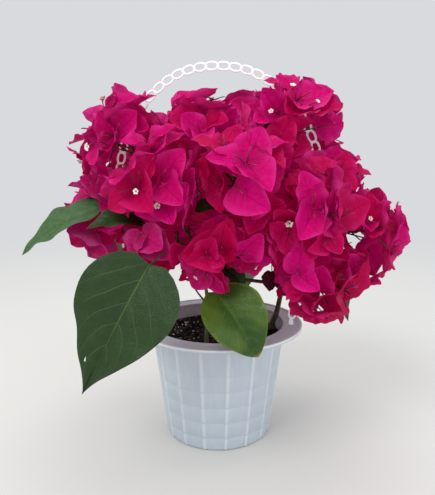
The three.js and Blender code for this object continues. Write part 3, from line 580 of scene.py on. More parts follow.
def on_bract(shares, bract):
    """Points given in shares of a bract's length, in space."""
    root, axes, size = bract
    return root + (shares * (1, BRACT_WIDTH, 1)) @ axes * size


def passes_through(edges, faces, place):
    """Whether an edge passes through a face away from the hub at a place."""
    start = edges[:, None, 0]
    reach = edges[:, None, 1] - start
    corner = faces[None, :, 0]
    one = faces[None, :, 1] - corner
    two = faces[None, :, 2] - corner
    normal = cross(reach, two)
    scale = dot(normal, one)
    scale[np.abs(scale) < 1e-12] = np.inf
    offset = start - corner
    u = dot(offset, normal) / scale
    turned = cross(offset, one)
    v = dot(reach, turned) / scale
    share = dot(two, turned) / scale
    hit = (u >= 0) & (v >= 0) & (u + v <= 1) & (share >= 0) & (share < 1) & np.isfinite(scale)
    if not hit.any():
        return False
    where = (start + reach * share[..., None])[hit]
    return bool((np.linalg.norm(where - place, axis=-1) > HUB_CLEAR).any())


def window_lines():
    """A place and the way to the viewpoint for each line of sight that stays open."""
    places = SIGHT_WINDOWS[:, :3]
    return places, unit(VIEWPOINT - places), SIGHT_WINDOWS[:, 3]


NO_FACES = np.zeros((0, 3, 3))


class Placed:
    """Faces and edges of what stands in a mass already."""

    def __init__(self):
        self.faces = NO_FACES
        self.edges = np.zeros((0, 2, 3))

    def add(self, faces, edges):
        self.faces = np.concatenate([self.faces, faces])
        self.edges = np.concatenate([self.edges, edges])

    def copy(self):
        other = Placed()
        other.faces, other.edges = self.faces, self.edges
        return other

    def near(self, place, reach):
        """Only what lies within a reach of a place."""
        other = Placed()
        for name in ("faces", "edges"):
            bodies = getattr(self, name)
            middles = bodies.mean(axis=1)
            sizes = np.linalg.norm(bodies[:, 0] - middles, axis=1)
            near = np.linalg.norm(middles - place, axis=1) < reach + sizes
            setattr(other, name, bodies[near])
        return other

    def crossed_by(self, faces, edges, place):
        if len(self.faces) and passes_through(edges, self.faces, place):
            return True
        return len(faces) > 0 and len(self.edges) > 0 and passes_through(self.edges, faces, place)


class Group:
    """A flower group: its place, the way it looks, and its bracts once they're grown."""

    def __init__(self, place, axis, twist, size, open_deg, mass, fine):
        self.place, self.axis, self.twist = place, axis, twist
        self.size, self.open_deg = size, open_deg
        self.mass, self.fine = mass, fine
        self.root = None
        self.carrier = None
        self.bracts = []


def spread_groups(index, seed, count, spread, cap_deg, size, open_deg, fine):
    """Groups spread by a spiral over the side of a mass that looks out of the crown."""
    random = Numbers(seed)
    outward = outward_of(index)
    first, second = square_to(outward)
    phase = random.draw() * TURN
    groups = []
    for i in range(count):
        away = math.radians(cap_deg) * math.sqrt((i + FIRST_AWAY) / count)
        around = phase + math.radians(GOLDEN_DEG) * i
        direction = outward * math.cos(away)
        direction = direction + first * math.sin(away) * math.cos(around)
        direction = direction + second * math.sin(away) * math.sin(around)
        share = spread * random.varied(*SPREAD_VARIES)
        place = MIDDLES[index] + direction * REACHES[index] * share
        lean = np.array([random.draw() - bias for bias in LEAN_BIAS])
        axis = unit(direction + outward * GROUP_OUTWARD + lean * GROUP_LEAN)
        twist = random.draw() * TURN
        full = size * random.varied(*SIZE_VARIES)
        opened = open_deg * random.varied(*OPEN_VARIES)
        groups.append(Group(place, axis, twist, full, opened, index, fine))
    return groups


class Crown:
    """All flower groups of the crown, with the limbs that carry them."""

    def __init__(self):
        self.limbs = make_limbs()
        self.places, self.radii = clearance_balls(self.limbs)
        self.tries = settings_of_tries()
        self.windows = window_lines()
        self.stems = {}
        self.groups = []
        self.neighbours = [self.masses_beside(index) for index in range(len(MASSES))]
        self.anywhere = False
        self.placed = [self.grow(index, name) for index, name in enumerate(MASS_NAMES)]
        self.anywhere = True
        for index in range(len(MASSES)):
            self.close_seams(index)
        self.drop_bare_twigs()

    def masses_beside(self, index):
        """This mass and then those whose space can come near its own."""
        apart = np.linalg.norm(MIDDLES - MIDDLES[index], axis=1)
        near = apart < NEAR_ENOUGH * (REACHES.max(1) + REACHES[index].max())
        return [index, *(k for k in np.flatnonzero(near) if k != index)]

    def in_own_space(self, points, index):
        """Which points are deepest in this mass, or for the seams in any mass at all."""
        beside = self.neighbours[index]
        offsets = (points[:, None] - MIDDLES[beside]) / REACHES[beside]
        depth = np.sqrt(dot(offsets, offsets))
        if self.anywhere:
            return depth.min(1) < SEAM_DEPTH
        return (depth[:, 0] <= 1) & (depth[:, 1:].min(1) > depth[:, 0] + SPACE_MARGIN)

    def is_clear(self, points):
        """Which points are clear of strap, limbs, stalks and leaves."""
        offsets = points[:, None] - self.near_places
        return (dot(offsets, offsets) > self.near_radii**2).all(1)

    def look_round(self, place, reach):
        """Keeps only what can stand in the way within a reach of a place."""
        near = np.linalg.norm(self.places - place, axis=1) < reach + self.radii
        self.near_places, self.near_radii = self.places[near], self.radii[near]

    def in_window(self, points):
        """Which points stand in a line of sight that stays open."""
        places, sights, radii = self.windows
        offsets = points[:, None] - places
        along = dot(offsets, sights)
        aside = dot(offsets, offsets) - along**2
        return ((along > -WINDOW_BEHIND) & (aside < radii**2)).any(1)

    def stem_of(self, index, carrier):
        bough = self.limbs[carrier].path
        along = bough.tangent(1)
        start = bough.at(1) + along * GAP
        end = MIDDLES[index] + outward_of(index) * STEM_PAST_MIDDLE
        return Path([start, start + along * STEM_BEND, end])

    def twig_root(self, stem, i, count):
        share = FIRST_TWIG_AT + (LAST_TWIG_AT - FIRST_TWIG_AT) * (i + 0.5) / count
        piece = math.floor(share * STEM_STEPS)
        ends = stem.at(np.array([piece, piece + 1]) / STEM_STEPS)
        return ends[0] + (ends[1] - ends[0]) * (share * STEM_STEPS - piece)

    def twig_is_clear(self, root, place, index, placed, keep_windows=False):
        points = root + (place - root) * np.linspace(0, 1, TWIG_CHECKS)[1:, None]
        if not (self.in_own_space(points, index) & self.is_clear(points)).all():
            return False
        if keep_windows and self.in_window(points).any():
            return False
        return not placed.crossed_by(NO_FACES, np.array([[root, place]]), place)

    def fit_bract(self, group, turn, placed):
        """The first setting of a bract that keeps to its space, clear of everything, or None."""
        length_share, extra_turn, open_share = self.tries
        open_angle = np.radians(group.open_deg * open_share)[:, None]
        turns = (turn + extra_turn)[:, None]
        first, second = square_to(group.axis)
        side = first * np.cos(turns) + second * np.sin(turns)
        along = group.axis * np.cos(open_angle) + side * np.sin(open_angle)
        up = group.axis * np.sin(open_angle) - side * np.cos(open_angle)
        axes = np.stack([along, cross(up, along), up], axis=1)
        roots = group.place - ROOT_SUNK * along
        sizes = group.size * length_share
        scaled = (BRACT_SAMPLES * (1, BRACT_WIDTH, 1)) @ axes * sizes[:, None, None]
        samples = (roots[:, None] + scaled).reshape(-1, 3)
        free = self.in_own_space(samples, group.mass)
        free = np.flatnonzero(free.reshape(len(sizes), -1).all(1))
        samples = samples.reshape(len(sizes), -1, 3)[free]
        clear = self.is_clear(samples.reshape(-1, 3))
        if group.fine:
            clear &= ~self.in_window(samples.reshape(-1, 3))
        for k in free[clear.reshape(-1, len(BRACT_SAMPLES)).all(1)]:
            bract = (roots[k], axes[k], sizes[k])
            faces = on_bract(BRACT_FAN, bract)
            edges = on_bract(BRACT_EDGES, bract)
            if not placed.crossed_by(faces, edges, group.place):
                return bract, faces, edges
        return None

    def fit_group(self, group, placed, twists):
        best = []
        for extra in twists:
            taken = placed.copy()
            found = []
            for k in range(3):
                made = self.fit_bract(group, group.twist + extra + k * TURN / 3, taken)
                if made:
                    taken.add(*made[1:])
                    found.append(made)
            if len(found) > len(best):
                best = found
            if len(best) == 3:
                break
        return best

    def grow(self, index, name):
        count = MASSES[name][2]
        stem = self.stem_of(index, STEM_BORNE.get(name, "bough_" + name))
        self.stems[name] = stem
        placed = Placed()
        grown = []
        seed = FIRST_SEED + SEED_STEP * index
        main = spread_groups(
            index, seed, count, GROUP_SPREAD, GROUP_CAP_DEG, BRACT_LENGTH, BRACT_OPEN_DEG, 0
        )
        for i, group in enumerate(main):
            root = self.twig_root(stem, i, count)
            self.look_round(group.place, np.linalg.norm(group.place - root))
            if self.twig_is_clear(root, group.place, index, placed):
                group.root = root
                self.keep(group, placed, TWIST_TRIES, grown)
        placed = self.open_windows(grown)
        for place, axis in EXTRA_SPRAYS.get(name, ()):
            place = np.array(place, float)
            spray = Group(place, unit(axis), 0, BRACT_LENGTH, BRACT_OPEN_DEG, index, 1)
            self.settle(spray, placed, TWIST_TRIES, grown)
        for fine, form in enumerate(FINE_ROUNDS, 1):
            self.grow_finer(index, seed, fine, form, FINE_CAP_DEG, placed, grown)
        self.groups += grown
        return placed

    def grow_finer(self, index, seed, fine, form, cap_deg, placed, grown):
        """One round of finer groups on the stem and twigs that are there already."""
        tries, spread, share, open_deg = form
        size = BRACT_LENGTH * share
        seed += FINE_SEED_STEP * fine
        for group in spread_groups(index, seed, tries, spread, cap_deg, size, open_deg, fine):
            self.settle(group, placed, FINE_TWISTS, grown)

    def settle(self, group, placed, twists, grown):
        """Keeps a group on the nearest stem or twig if its own twig is clear."""
        self.root_nearby(group, grown)
        self.look_round(group.place, np.linalg.norm(group.place - group.root))
        if self.twig_is_clear(group.root, group.place, group.mass, placed, True):
            self.keep(group, placed, twists, grown)

    def open_windows(self, grown):
        """Drops the bracts that stand in an open line of sight. Returns what is left."""
        left = Placed()
        for group in grown:
            group.bracts = [
                bract for bract in group.bracts
                if not self.in_window(on_bract(BRACT_SAMPLES, bract)).any()
            ]
            for bract in group.bracts:
                left.add(on_bract(BRACT_FAN, bract), on_bract(BRACT_EDGES, bract))
            left.add(NO_FACES, np.array([[group.root, group.place]]))
        return left

    def drop_bare_twigs(self):
        """Drops the groups that have no bracts and carry no other group."""
        kept = set()
        for group in reversed(self.groups):
            if group.bracts or group in kept:
                kept.update((group, group.carrier))
        self.groups = [group for group in self.groups if group in kept]

    def close_seams(self, index):
        """Finer groups that may reach into the space between this mass and its neighbours."""
        own = [group for group in self.groups if group.mass == index]
        before = len(own)
        around = Placed()
        for other in self.neighbours[index]:
            around.add(self.placed[other].faces, self.placed[other].edges)
        had = len(around.faces), len(around.edges)
        for fine, form in enumerate(SEAM_ROUNDS, 1 + len(FINE_ROUNDS)):
            seed = FIRST_SEED + SEED_STEP * index
            self.grow_finer(index, seed, fine, form, SEAM_CAP_DEG, around, own)
        self.placed[index].add(around.faces[had[0]:], around.edges[had[1]:])
        self.groups += own[before:]

    def root_nearby(self, group, grown):
        """Roots a group on the nearest point of the stem or of a twig that is there already."""
        stem = self.stems[MASS_NAMES[group.mass]]
        options = [stem.at(np.linspace(FIRST_TWIG_AT, 1, STEM_ROOTS))]
        carriers = [None] * STEM_ROOTS
        for other in grown:
            options.append(other.root + (other.place - other.root) * TWIG_SHARES[:, None])
            carriers += [other] * len(TWIG_SHARES)
        options = np.vstack(options)
        nearest = np.argmin(np.linalg.norm(options - group.place, axis=1))
        group.root, group.carrier = options[nearest], carriers[nearest]

    def keep(self, group, placed, twists, grown):
        self.look_round(group.place, BRACT_REACH)
        near = placed.near(group.place, BRACT_REACH)
        found = self.fit_group(group, near, twists)
        if len(found) < FEWEST_BRACTS:
            return
        group.bracts = [made[0] for made in found]
        for _, faces, edges in found:
            placed.add(faces, edges)
        placed.add(NO_FACES, np.array([[group.root, group.place]]))
        grown.append(group)


@lru_cache(maxsize=1)
def crown():
    return Crown()


# Meshes


def net_faces(lines, points, close_lines=False, close_points=True, flip=False):
    """Faces of a net of lines of points each, closed round one or both ways."""
    line = np.arange(lines if close_lines else lines - 1)[:, None]
    point = np.arange(points if close_points else points - 1)
    here, there = line * points, (line + 1) % lines * points
    beside = (point + 1) % points
    corners = [here + point, here + beside, there + beside, there + point]
    if flip:
        corners = [corners[k] for k in (0, 3, 2, 1)]
    return np.stack(corners, axis=-1).reshape(-1, 4)


def closed_ring(count, step=1):
    """The points of a ring, with the first again at the end."""
    return np.append(np.arange(count), 0) * step


def fan_faces(hub, ring, flip=False):
    """Faces between a hub and each pair of neighbours on a ring."""
    before, after = (ring[1:], ring[:-1]) if flip else (ring[:-1], ring[1:])
    return np.stack([np.full(len(before), hub), before, after], axis=1)


def spin(turn):
    """Turns rows of points round the upright axis."""
    return np.array([
        (math.cos(turn), math.sin(turn), 0), (-math.sin(turn), math.cos(turn), 0), (0, 0, 1),
    ])


class Shape:
    """Gathers the points and faces of one piece, in millimetres."""

    def __init__(self):
        self.points, self.uv, self.tint = [], [], []
        self.quads, self.tris = [np.zeros((0, 4), int)], [np.zeros((0, 3), int)]
        self.count = 0

    def add(self, points, quads=(), tris=(), uv=None, tint=0.0):
        points = np.reshape(points, (-1, 3))
        count = len(points)
        self.points.append(points)
        for kept, faces, corners in ((self.quads, quads, 4), (self.tris, tris, 3)):
            if len(faces):
                kept.append(np.reshape(faces, (-1, corners)) + self.count)
        self.uv.append(np.zeros((count, 2)) if uv is None else np.reshape(uv, (-1, 2)))
        self.tint.append(np.broadcast_to(np.ravel(tint), (count,)))
        self.count += count

    def build(self, name, material=None):
        quads, tris = np.vstack(self.quads), np.vstack(self.tris)
        corners = np.concatenate([quads.ravel(), tris.ravel()]).astype(np.int32)
        sizes = np.repeat([4, 3], [len(quads), len(tris)]).astype(np.int32)
        starts = np.concatenate([[0], np.cumsum(sizes)[:-1]]).astype(np.int32)
        mesh = bpy.data.meshes.new(name)
        mesh.vertices.add(self.count)
        mesh.vertices.foreach_set("co", (np.vstack(self.points) * MM).ravel())
        mesh.loops.add(len(corners))
        mesh.loops.foreach_set("vertex_index", corners)
        mesh.polygons.add(len(sizes))
        mesh.polygons.foreach_set("loop_start", starts)
        mesh.polygons.foreach_set("loop_total", sizes)
        mesh.polygons.foreach_set("use_smooth", np.ones(len(sizes), bool))
        uv = np.vstack(self.uv)[corners]
        mesh.uv_layers.new(name="blade").data.foreach_set("uv", uv.ravel().astype(np.float32))
        tint = mesh.attributes.new("tint", "FLOAT", "POINT")
        tint.data.foreach_set("value", np.concatenate(self.tint).astype(np.float32))
        mesh.update(calc_edges=True)
        mesh.validate()
        if material:
            mesh.materials.append(material)
        piece = bpy.data.objects.new(name, mesh)
        bpy.context.scene.collection.objects.link(piece)
        return piece


def place_piece(piece, slot, *nodes):
    """The piece rides on the plant's one body and stands for its nodes."""
    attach(piece, "root")
    if nodes:
        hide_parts(*nodes)


def repeated(faces, count, size):
    """The same faces for each of several like bodies."""
    return (faces[None] + (np.arange(count) * size)[:, None, None]).reshape(-1, faces.shape[1])


@lru_cache(maxsize=None)
def blade_faces(rows, columns):
    """Point 0 is the base and the last one the tip, with rows of columns + 1 points between."""
    first = 1 + np.arange(columns + 1)
    last = first + (rows - 1) * (columns + 1)
    quads = 1 + net_faces(rows, columns + 1, close_points=False, flip=True)
    return quads, np.vstack([fan_faces(0, first), fan_faces(last[-1] + 1, last, flip=True)])


def blade_shares(rows, columns):
    """Shares from base to tip and sides from -1 to 1 of a blade's points."""
    share = np.concatenate([[0], np.repeat(rows, columns + 1), [1]])
    side = np.concatenate([[0], np.tile(np.linspace(-1, 1, columns + 1), len(rows)), [0]])
    return share, side


def add_blades(shape, local, roots, axes, rows, columns, tint):
    """Adds many blades from their along, across and up, an array of (blades, points, 3)."""
    share, side = blade_shares(rows, columns)
    quads, tris = blade_faces(len(rows), columns)
    count, size = local.shape[:2]
    points = roots[:, None] + local @ axes
    uv = np.tile(np.stack([share, (side + 1) / 2], axis=1), (count, 1))
    quads, tris = (repeated(faces, count, size) for faces in (quads, tris))
    shape.add(points, quads, tris, uv, np.repeat(tint, size))


@lru_cache(maxsize=None)
def tube_faces(rings, sides):
    """Faces of a tube with a middle point at each end."""
    foot = rings * sides
    ring = closed_ring(sides)
    ends = [fan_faces(foot, ring, flip=True), fan_faces(foot + 1, ring + foot - sides)]
    return net_faces(rings, sides), np.vstack(ends)


def tube_frames(lines):
    """Two directions square to each line at each of its points, without twist."""
    ahead = unit(np.gradient(lines, axis=1))
    helper = np.where(np.abs(ahead[:, 0, 2:3]) < 0.9, (0.0, 0.0, 1.0), (1.0, 0.0, 0.0))
    first = unit(np.cross(helper, ahead[:, 0]))
    firsts = [first]
    for r in range(1, lines.shape[1]):
        first = unit(first - ahead[:, r] * (first * ahead[:, r]).sum(-1, keepdims=True))
        firsts.append(first)
    firsts = np.stack(firsts, axis=1)
    return firsts, np.cross(ahead, firsts)


def add_tubes(shape, lines, radii, sides, tint=0.0, relief=None):
    """Adds round tubes along lines of (tubes, rings, 3) with radii of (tubes, rings)."""
    lines = np.asarray(lines, float)
    count, rings = lines.shape[:2]
    first, second = (frames[:, :, None] for frames in tube_frames(lines))
    around = np.arange(sides) / sides * TURN
    grown = np.broadcast_to(np.asarray(radii, float)[..., None], (count, rings, sides))
    if relief is not None:
        grown = grown + relief
    rim = first * np.cos(around)[:, None] + second * np.sin(around)[:, None]
    skin = lines[:, :, None] + rim * grown[..., None]
    points = np.concatenate([skin.reshape(count, -1, 3), lines[:, :1], lines[:, -1:]], axis=1)
    size = rings * sides + 2
    along = np.repeat(np.linspace(0, 1, rings), sides)
    turned = np.tile(around / TURN, rings)
    uv = np.tile(np.vstack([np.stack([along, turned], 1), [(0, 0), (1, 0)]]), (count, 1))
    tints = np.repeat(np.broadcast_to(tint, (count,)), size)
    quads, tris = (repeated(faces, count, size) for faces in tube_faces(rings, sides))
    shape.add(points, quads, tris, uv, tints)


def add_tube(shape, path, radii, sides, tint=0.0, relief=None):
    """Adds one round tube along a path, with a radius for each ring."""
    line = path.at(np.linspace(0, 1, len(radii)))
    add_tubes(shape, line[None], radii[None], sides, tint, relief)


# Materials


def srgb(*steps):
    """A colour given in 0 to 255 steps, as linear values."""
    shares = [step / 255 for step in steps]
    return (*(v / 12.92 if v <= 0.04045 else ((v + 0.055) / 1.055) ** 2.4 for v in shares), 1)


def scaled(tone, by, plus=0.0):
    """A colour with its values multiplied, and a little added."""
    return [min(1, by * value + plus) for value in tone[:3]] + [1]


class Nodes:
    """Short ways to add and link the nodes of one tree."""

    def __init__(self, tree):
        self.tree = tree

    def add(self, kind, **values):
        node = self.tree.nodes.new("ShaderNode" + kind)
        for name, value in values.items():
            setattr(node, name, value)
        return node

    def feed(self, socket, value):
        if isinstance(value, bpy.types.NodeSocket):
            self.tree.links.new(value, socket)
        elif value is not None:
            socket.default_value = value

    def fed(self, node, *values):
        """The first output of a node after its first inputs are fed."""
        for socket, value in zip(node.inputs, values):
            self.feed(socket, value)
        return node.outputs[0]

    def math(self, operation, a, b=None, c=None, clamp=False):
        return self.fed(self.add("Math", operation=operation, use_clamp=clamp), a, b, c)

    def times(self, a, b, plus=None, clamp=False):
        """a times b, with something added where it's given."""
        return self.math("MULTIPLY" if plus is None else "MULTIPLY_ADD", a, b, plus, clamp)

    def mix(self, share, a, b):
        node = self.add("Mix", data_type="RGBA")
        for place, value in (("Factor", share), (6, a), (7, b)):
            self.feed(node.inputs[place], value)
        return node.outputs[2]

    def range(self, value, low, high, to_low=0.0, to_high=1.0):
        node = self.add("MapRange", interpolation_type="SMOOTHSTEP")
        return self.fed(node, value, low, high, to_low, to_high)

    def noise(self, scale, detail=3.0, vector=None, roughness=0.5):
        node = self.add("TexNoise")
        self.feed(node.inputs["Scale"], scale)
        self.feed(node.inputs["Detail"], detail)
        self.feed(node.inputs["Roughness"], roughness)
        self.feed(node.inputs["Vector"], vector or self.object_place())
        return node.outputs[0]

    def object_place(self):
        return self.add("TexCoord").outputs["Object"]

    def stretched_place(self, upright):
        """The place on the object with its height scaled."""
        node = self.add("Mapping")
        node.inputs["Scale"].default_value = (1, 1, upright)
        return self.fed(node, self.object_place())

    def blade_place(self):
        """The share from base to tip, and the one across."""
        split = self.add("SeparateXYZ")
        self.fed(split, self.add("UVMap", uv_map="blade").outputs[0])
        return split.outputs[0], split.outputs[1]

    def group(self, tree, **values):
        node = self.add("Group", node_tree=tree)
        for name, value in values.items():
            self.feed(node.inputs[name.replace("_", " ")], value)
        return node.outputs

    def mottle(self, large, small, balance):
        return self.group(mottle_group(), Large=large, Small=small, Balance=balance)["Mask"]

    def tint(self):
        return self.add("Attribute", attribute_name="tint").outputs["Fac"]


class Material(Nodes):
    """The nodes of a new material."""

    def __init__(self, name):
        self.material = bpy.data.materials.new(name)
        self.material.use_nodes = True
        super().__init__(self.material.node_tree)
        self.shader = self.tree.nodes["Principled BSDF"]

    def geometry(self, name):
        return self.add("NewGeometry").outputs[name]

    def finish(self, face, rough, bump, **even):
        """Links colour, roughness and bump, sets what is even all over, and returns the material.

        rough holds a mask, its weight and the least roughness, bump a height, size and strength.
        """
        self.feed(self.shader.inputs["Base Color"], face)
        self.feed(self.shader.inputs["Roughness"], self.times(*rough))
        for name, value in even.items():
            self.shader.inputs[name.replace("_", " ")].default_value = value
        node = self.add("Bump")
        height, distance, strength = bump
        node.inputs["Distance"].default_value = distance
        node.inputs["Strength"].default_value = strength
        self.feed(node.inputs["Height"], height)
        self.feed(self.shader.inputs["Normal"], node.outputs[0])
        return self.material


def new_group(name, inputs, outputs):
    """A node group with named sockets. Returns it with its input and output sockets."""
    tree = bpy.data.node_groups.new(name, "ShaderNodeTree")
    kind = "NodeSocketFloat"
    for label, value in inputs.items():
        socket = tree.interface.new_socket(name=label, in_out="INPUT", socket_type=kind)
        socket.default_value = value
    for label in outputs:
        tree.interface.new_socket(name=label, in_out="OUTPUT", socket_type=kind)
    entry = tree.nodes.new("NodeGroupInput").outputs
    end = tree.nodes.new("NodeGroupOutput").inputs
    return tree, Nodes(tree), entry, end


SIDE_VEINS = 6.5
VEIN_SLANT = 2.2
VEIN_BEND = 1.2


@lru_cache(maxsize=None)
def vein_group():
    """Veins of a blade: 1 on the midrib, less on the side veins, and a fine net between them."""
    inputs = {"Side veins": 7.0, "Slant": 0.9, "Width": 0.1, "Net scale": 900.0}
    tree, nodes, entry, end = new_group("Blade veins", inputs, ("Veins", "Net", "Side", "Along"))
    share, across = nodes.blade_place()
    side = nodes.math("ABSOLUTE", nodes.times(across, 2.0, -1.0))
    narrow = nodes.times(entry["Width"], nodes.times(share, -0.6, 1.0))
    midrib = nodes.math("SUBTRACT", 1.0, nodes.range(side, 0.0, narrow))
    bent = nodes.times(nodes.math("POWER", side, VEIN_BEND), entry["Slant"])
    ladder = nodes.math("SUBTRACT", nodes.times(share, entry["Side veins"]), bent)
    ladder = nodes.times(nodes.noise(40.0, 1.0), 0.5, ladder)
    saw = nodes.math("ABSOLUTE", nodes.math("SUBTRACT", nodes.math("FRACT", ladder), 0.5))
    rungs = nodes.range(saw, 0.445, 0.5)
    side_veins = nodes.times(rungs, nodes.range(side, 0.4, 1.0, 0.5, 0.1))
    cells = nodes.add("TexVoronoi", feature="DISTANCE_TO_EDGE")
    nodes.feed(cells.inputs["Scale"], entry["Net scale"])
    nodes.feed(cells.inputs["Vector"], nodes.object_place())
    nodes.feed(end["Veins"], nodes.math("MAXIMUM", midrib, side_veins))
    nodes.feed(end["Net"], nodes.range(cells.outputs[0], 0.0, 0.12, 1.0, 0.0))
    nodes.feed(end["Side"], side)
    nodes.feed(end["Along"], share)
    return tree


@lru_cache(maxsize=None)
def mottle_group():
    """Two sizes of soft mottling put together."""
    inputs = {"Large": 40.0, "Small": 220.0, "Balance": 0.4}
    tree, nodes, entry, end = new_group("Mottling", inputs, ("Mask",))
    place = nodes.object_place()
    large, small = (
        nodes.range(nodes.noise(entry[label], 2.0, place), 0.3, 0.7) for label in ("Large", "Small")
    )
    small = nodes.times(small, entry["Balance"])
    large = nodes.times(large, nodes.math("SUBTRACT", 1.0, entry["Balance"]))
    nodes.feed(end["Mask"], nodes.math("ADD", large, small, clamp=True))
    return tree


def bract_material(name, tone, shade, underside_and_edge_highlight, painted_glow=0.15):
    """Papery bract with darker veins, each a little lighter or darker, with painted shade near its
    base, painted highlight along its edges and a faint emission as painted light passing through
    it.
    """
    nodes = Material(name)
    veins = nodes.group(vein_group(), Side_veins=6.0, Slant=1.5, Width=0.07, Net_scale=620.0)
    mottle = nodes.mottle(45.0, 260.0, 0.45)
    face = nodes.mix(nodes.times(nodes.tint(), 0.6, nodes.times(mottle, 0.4)), tone, shade)
    # Painted highlight: the edges turn towards the paler underside tone, as where light comes
    # through them
    face = nodes.mix(nodes.range(veins["Side"], 0.5, 1.0, 0.0, 0.32), face, underside_and_edge_highlight)
    marks = nodes.times(veins["Net"], 0.12, nodes.times(veins["Veins"], 0.2))
    # Painted shade near each bract's base, where the three bracts meet round the flower
    throat_shade = nodes.range(veins["Along"], 0.05, 0.42, 0.5, 0.0)
    face = nodes.mix(nodes.math("ADD", marks, throat_shade, clamp=True), face, scaled(shade, 0.5))
    face = nodes.mix(nodes.times(nodes.geometry("Backfacing"), 0.55), face, underside_and_edge_highlight)
    height = nodes.times(veins["Net"], 0.3, veins["Veins"])
    height = nodes.times(nodes.noise(120.0, 3.0), 2.6, height)
    # The emission is painted light: a faint lift of the shadows that stands in for light passing
    # through the papery bract
    return nodes.finish(
        face, (mottle, 0.16, 0.44), (height, 0.0008, 0.8),
        Specular_IOR_Level=0.08, Emission_Color=tone, Emission_Strength=painted_glow,
    )


def leaf_material(name, upper, rib, margin=None):
    """Leaf: a blade with paler veins, and with a pale margin and a dry tip where it has them."""
    nodes = Material(name)
    veins = nodes.group(
        vein_group(), Side_veins=SIDE_VEINS, Slant=VEIN_SLANT, Width=0.035, Net_scale=330.0
    )
    mottle = nodes.mottle(30.0, 170.0, 0.5)
    face = nodes.mix(nodes.times(mottle, 0.8), upper, scaled(upper, 0.6))
    if margin:
        wavy = nodes.times(nodes.noise(90.0), 0.3, veins["Side"])
        patches = nodes.times(nodes.range(nodes.noise(28.0, 2.0), 0.46, 0.66), 0.6)
        pale = nodes.math("MAXIMUM", nodes.range(wavy, 1.0, 1.15), patches)
        face = nodes.mix(nodes.times(pale, 0.6), face, margin)
        face = nodes.mix(nodes.range(veins["Along"], 0.95, 0.985), face, srgb(142, 108, 46))
    face = nodes.mix(nodes.times(veins["Veins"], 0.55), face, rib)
    under = [0.5 * a + 0.5 * b + 0.02 for a, b in zip(upper[:3], rib[:3])] + [1]
    face = nodes.mix(nodes.times(nodes.geometry("Backfacing"), 0.7), face, under)
    height = nodes.math("SUBTRACT", 1.0, nodes.times(veins["Net"], 0.25, veins["Veins"]))
    return nodes.finish(
        face, (mottle, 0.14, 0.34), (height, 0.0006, 0.8), Specular_IOR_Level=0.32
    )


def bark_material(name, bark, streak, second, second_share=0.0):
    """Thin bark with long streaks and pale pores, and a second colour on its right side."""
    nodes = Material(name)
    streaks = nodes.range(nodes.noise(900.0, 4.0, nodes.stretched_place(0.22), 0.62), 0.36, 0.64)
    face = nodes.mix(streaks, bark, streak)
    normal = nodes.add("SeparateXYZ")
    right = nodes.times(nodes.fed(normal, nodes.geometry("Normal")), 0.5, nodes.noise(160.0))
    side = nodes.range(right, 0.75 - second_share, 1.1 - second_share)
    face = nodes.mix(nodes.times(side, 0.9), face, second)
    pores = nodes.range(nodes.noise(1500.0, 2.0), 0.62, 0.7)
    face = nodes.mix(nodes.times(pores, 0.5), face, scaled(bark, 2.2, 0.03))
    return nodes.finish(face, (streaks, 0.2, 0.62), (streaks, 0.0004, 0.9))


def plastic_material(name, tone, worn_tone_and_groove_shade, roughness, raised_highlight=None, painted_glow=0.0):
    """Moulded plastic with fine scratches and a little dust, with painted highlight on ribs and
    rim, painted shade in its grooves and, where it's given, an emission as painted light.
    """
    nodes = Material(name)
    mottle = nodes.mottle(14.0, 120.0, 0.35)
    face = nodes.mix(nodes.times(mottle, 0.3), (*tone, 1), worn_tone_and_groove_shade)
    if raised_highlight:
        flow = nodes.range(nodes.noise(260.0, 2.0, nodes.stretched_place(0.03)), 0.35, 0.65)
        face = nodes.mix(nodes.times(flow, 0.14), face, worn_tone_and_groove_shade)
        # The tint is negative in the grooves, which get painted shade in the worn tone, and
        # positive on the ribs and the rim, which get a painted highlight
        tint = nodes.tint()
        face = nodes.mix(nodes.times(tint, -0.13, clamp=True), face, worn_tone_and_groove_shade)
        face = nodes.mix(nodes.times(tint, 0.4, clamp=True), face, raised_highlight)
    scratches = nodes.noise(700.0, 4.0, None, 0.7)
    rough = nodes.times(scratches, 0.16, roughness)
    # Where it's given, the emission is painted light that keeps the plastic pale where it lies in
    # shade
    return nodes.finish(
        face, (mottle, 0.08, rough), (scratches, 0.00008, 0.5),
        Subsurface_Weight=0.08, Subsurface_Scale=0.004,
        Emission_Color=(*tone, 1), Emission_Strength=painted_glow,
    )


def soil_material(tone):
    """Moist crumbly mix: near black with brown crumbs and damp spots."""
    nodes = Material("potting_mix")
    crumbs = nodes.noise(420.0, 6.0, None, 0.65)
    face = nodes.mix(nodes.range(crumbs, 0.48, 0.72), (*tone, 1), (0.01, 0.007, 0.005, 1))
    damp = nodes.range(nodes.noise(60.0), 0.4, 0.62)
    return nodes.finish(face, (damp, 0.4, 0.5), (crumbs, 0.002, 0.9), Specular_IOR_Level=0.04)


def grain_material(name, tone):
    """Small grains, each of its own lightness."""
    nodes = Material(name)
    rough = nodes.noise(900.0, 3.0)
    share = nodes.times(nodes.tint(), 0.6, nodes.times(rough, 0.4))
    face = nodes.mix(share, tone, scaled(tone, 0.45))
    return nodes.finish(face, (rough, 0.2, 0.7), (rough, 0.0004, 0.8))


def flower_material(name, near, far, centre=None):
    """Small flower: one colour near the base and another towards the end."""
    nodes = Material(name)
    share, _ = nodes.blade_place()
    face = nodes.mix(nodes.range(share, 0.1, 0.95), near, far)
    if centre:
        face = nodes.mix(nodes.range(share, 0.0, 0.3, 1.0, 0.0), face, centre)
    mottle = nodes.mottle(300.0, 900.0, 0.5)
    face = nodes.mix(nodes.times(mottle, 0.25), face, scaled(near, 0.5))
    return nodes.finish(face, (mottle, 0.2, 0.5), (mottle, 0.0002, 0.5))


# Pot, soil and strap

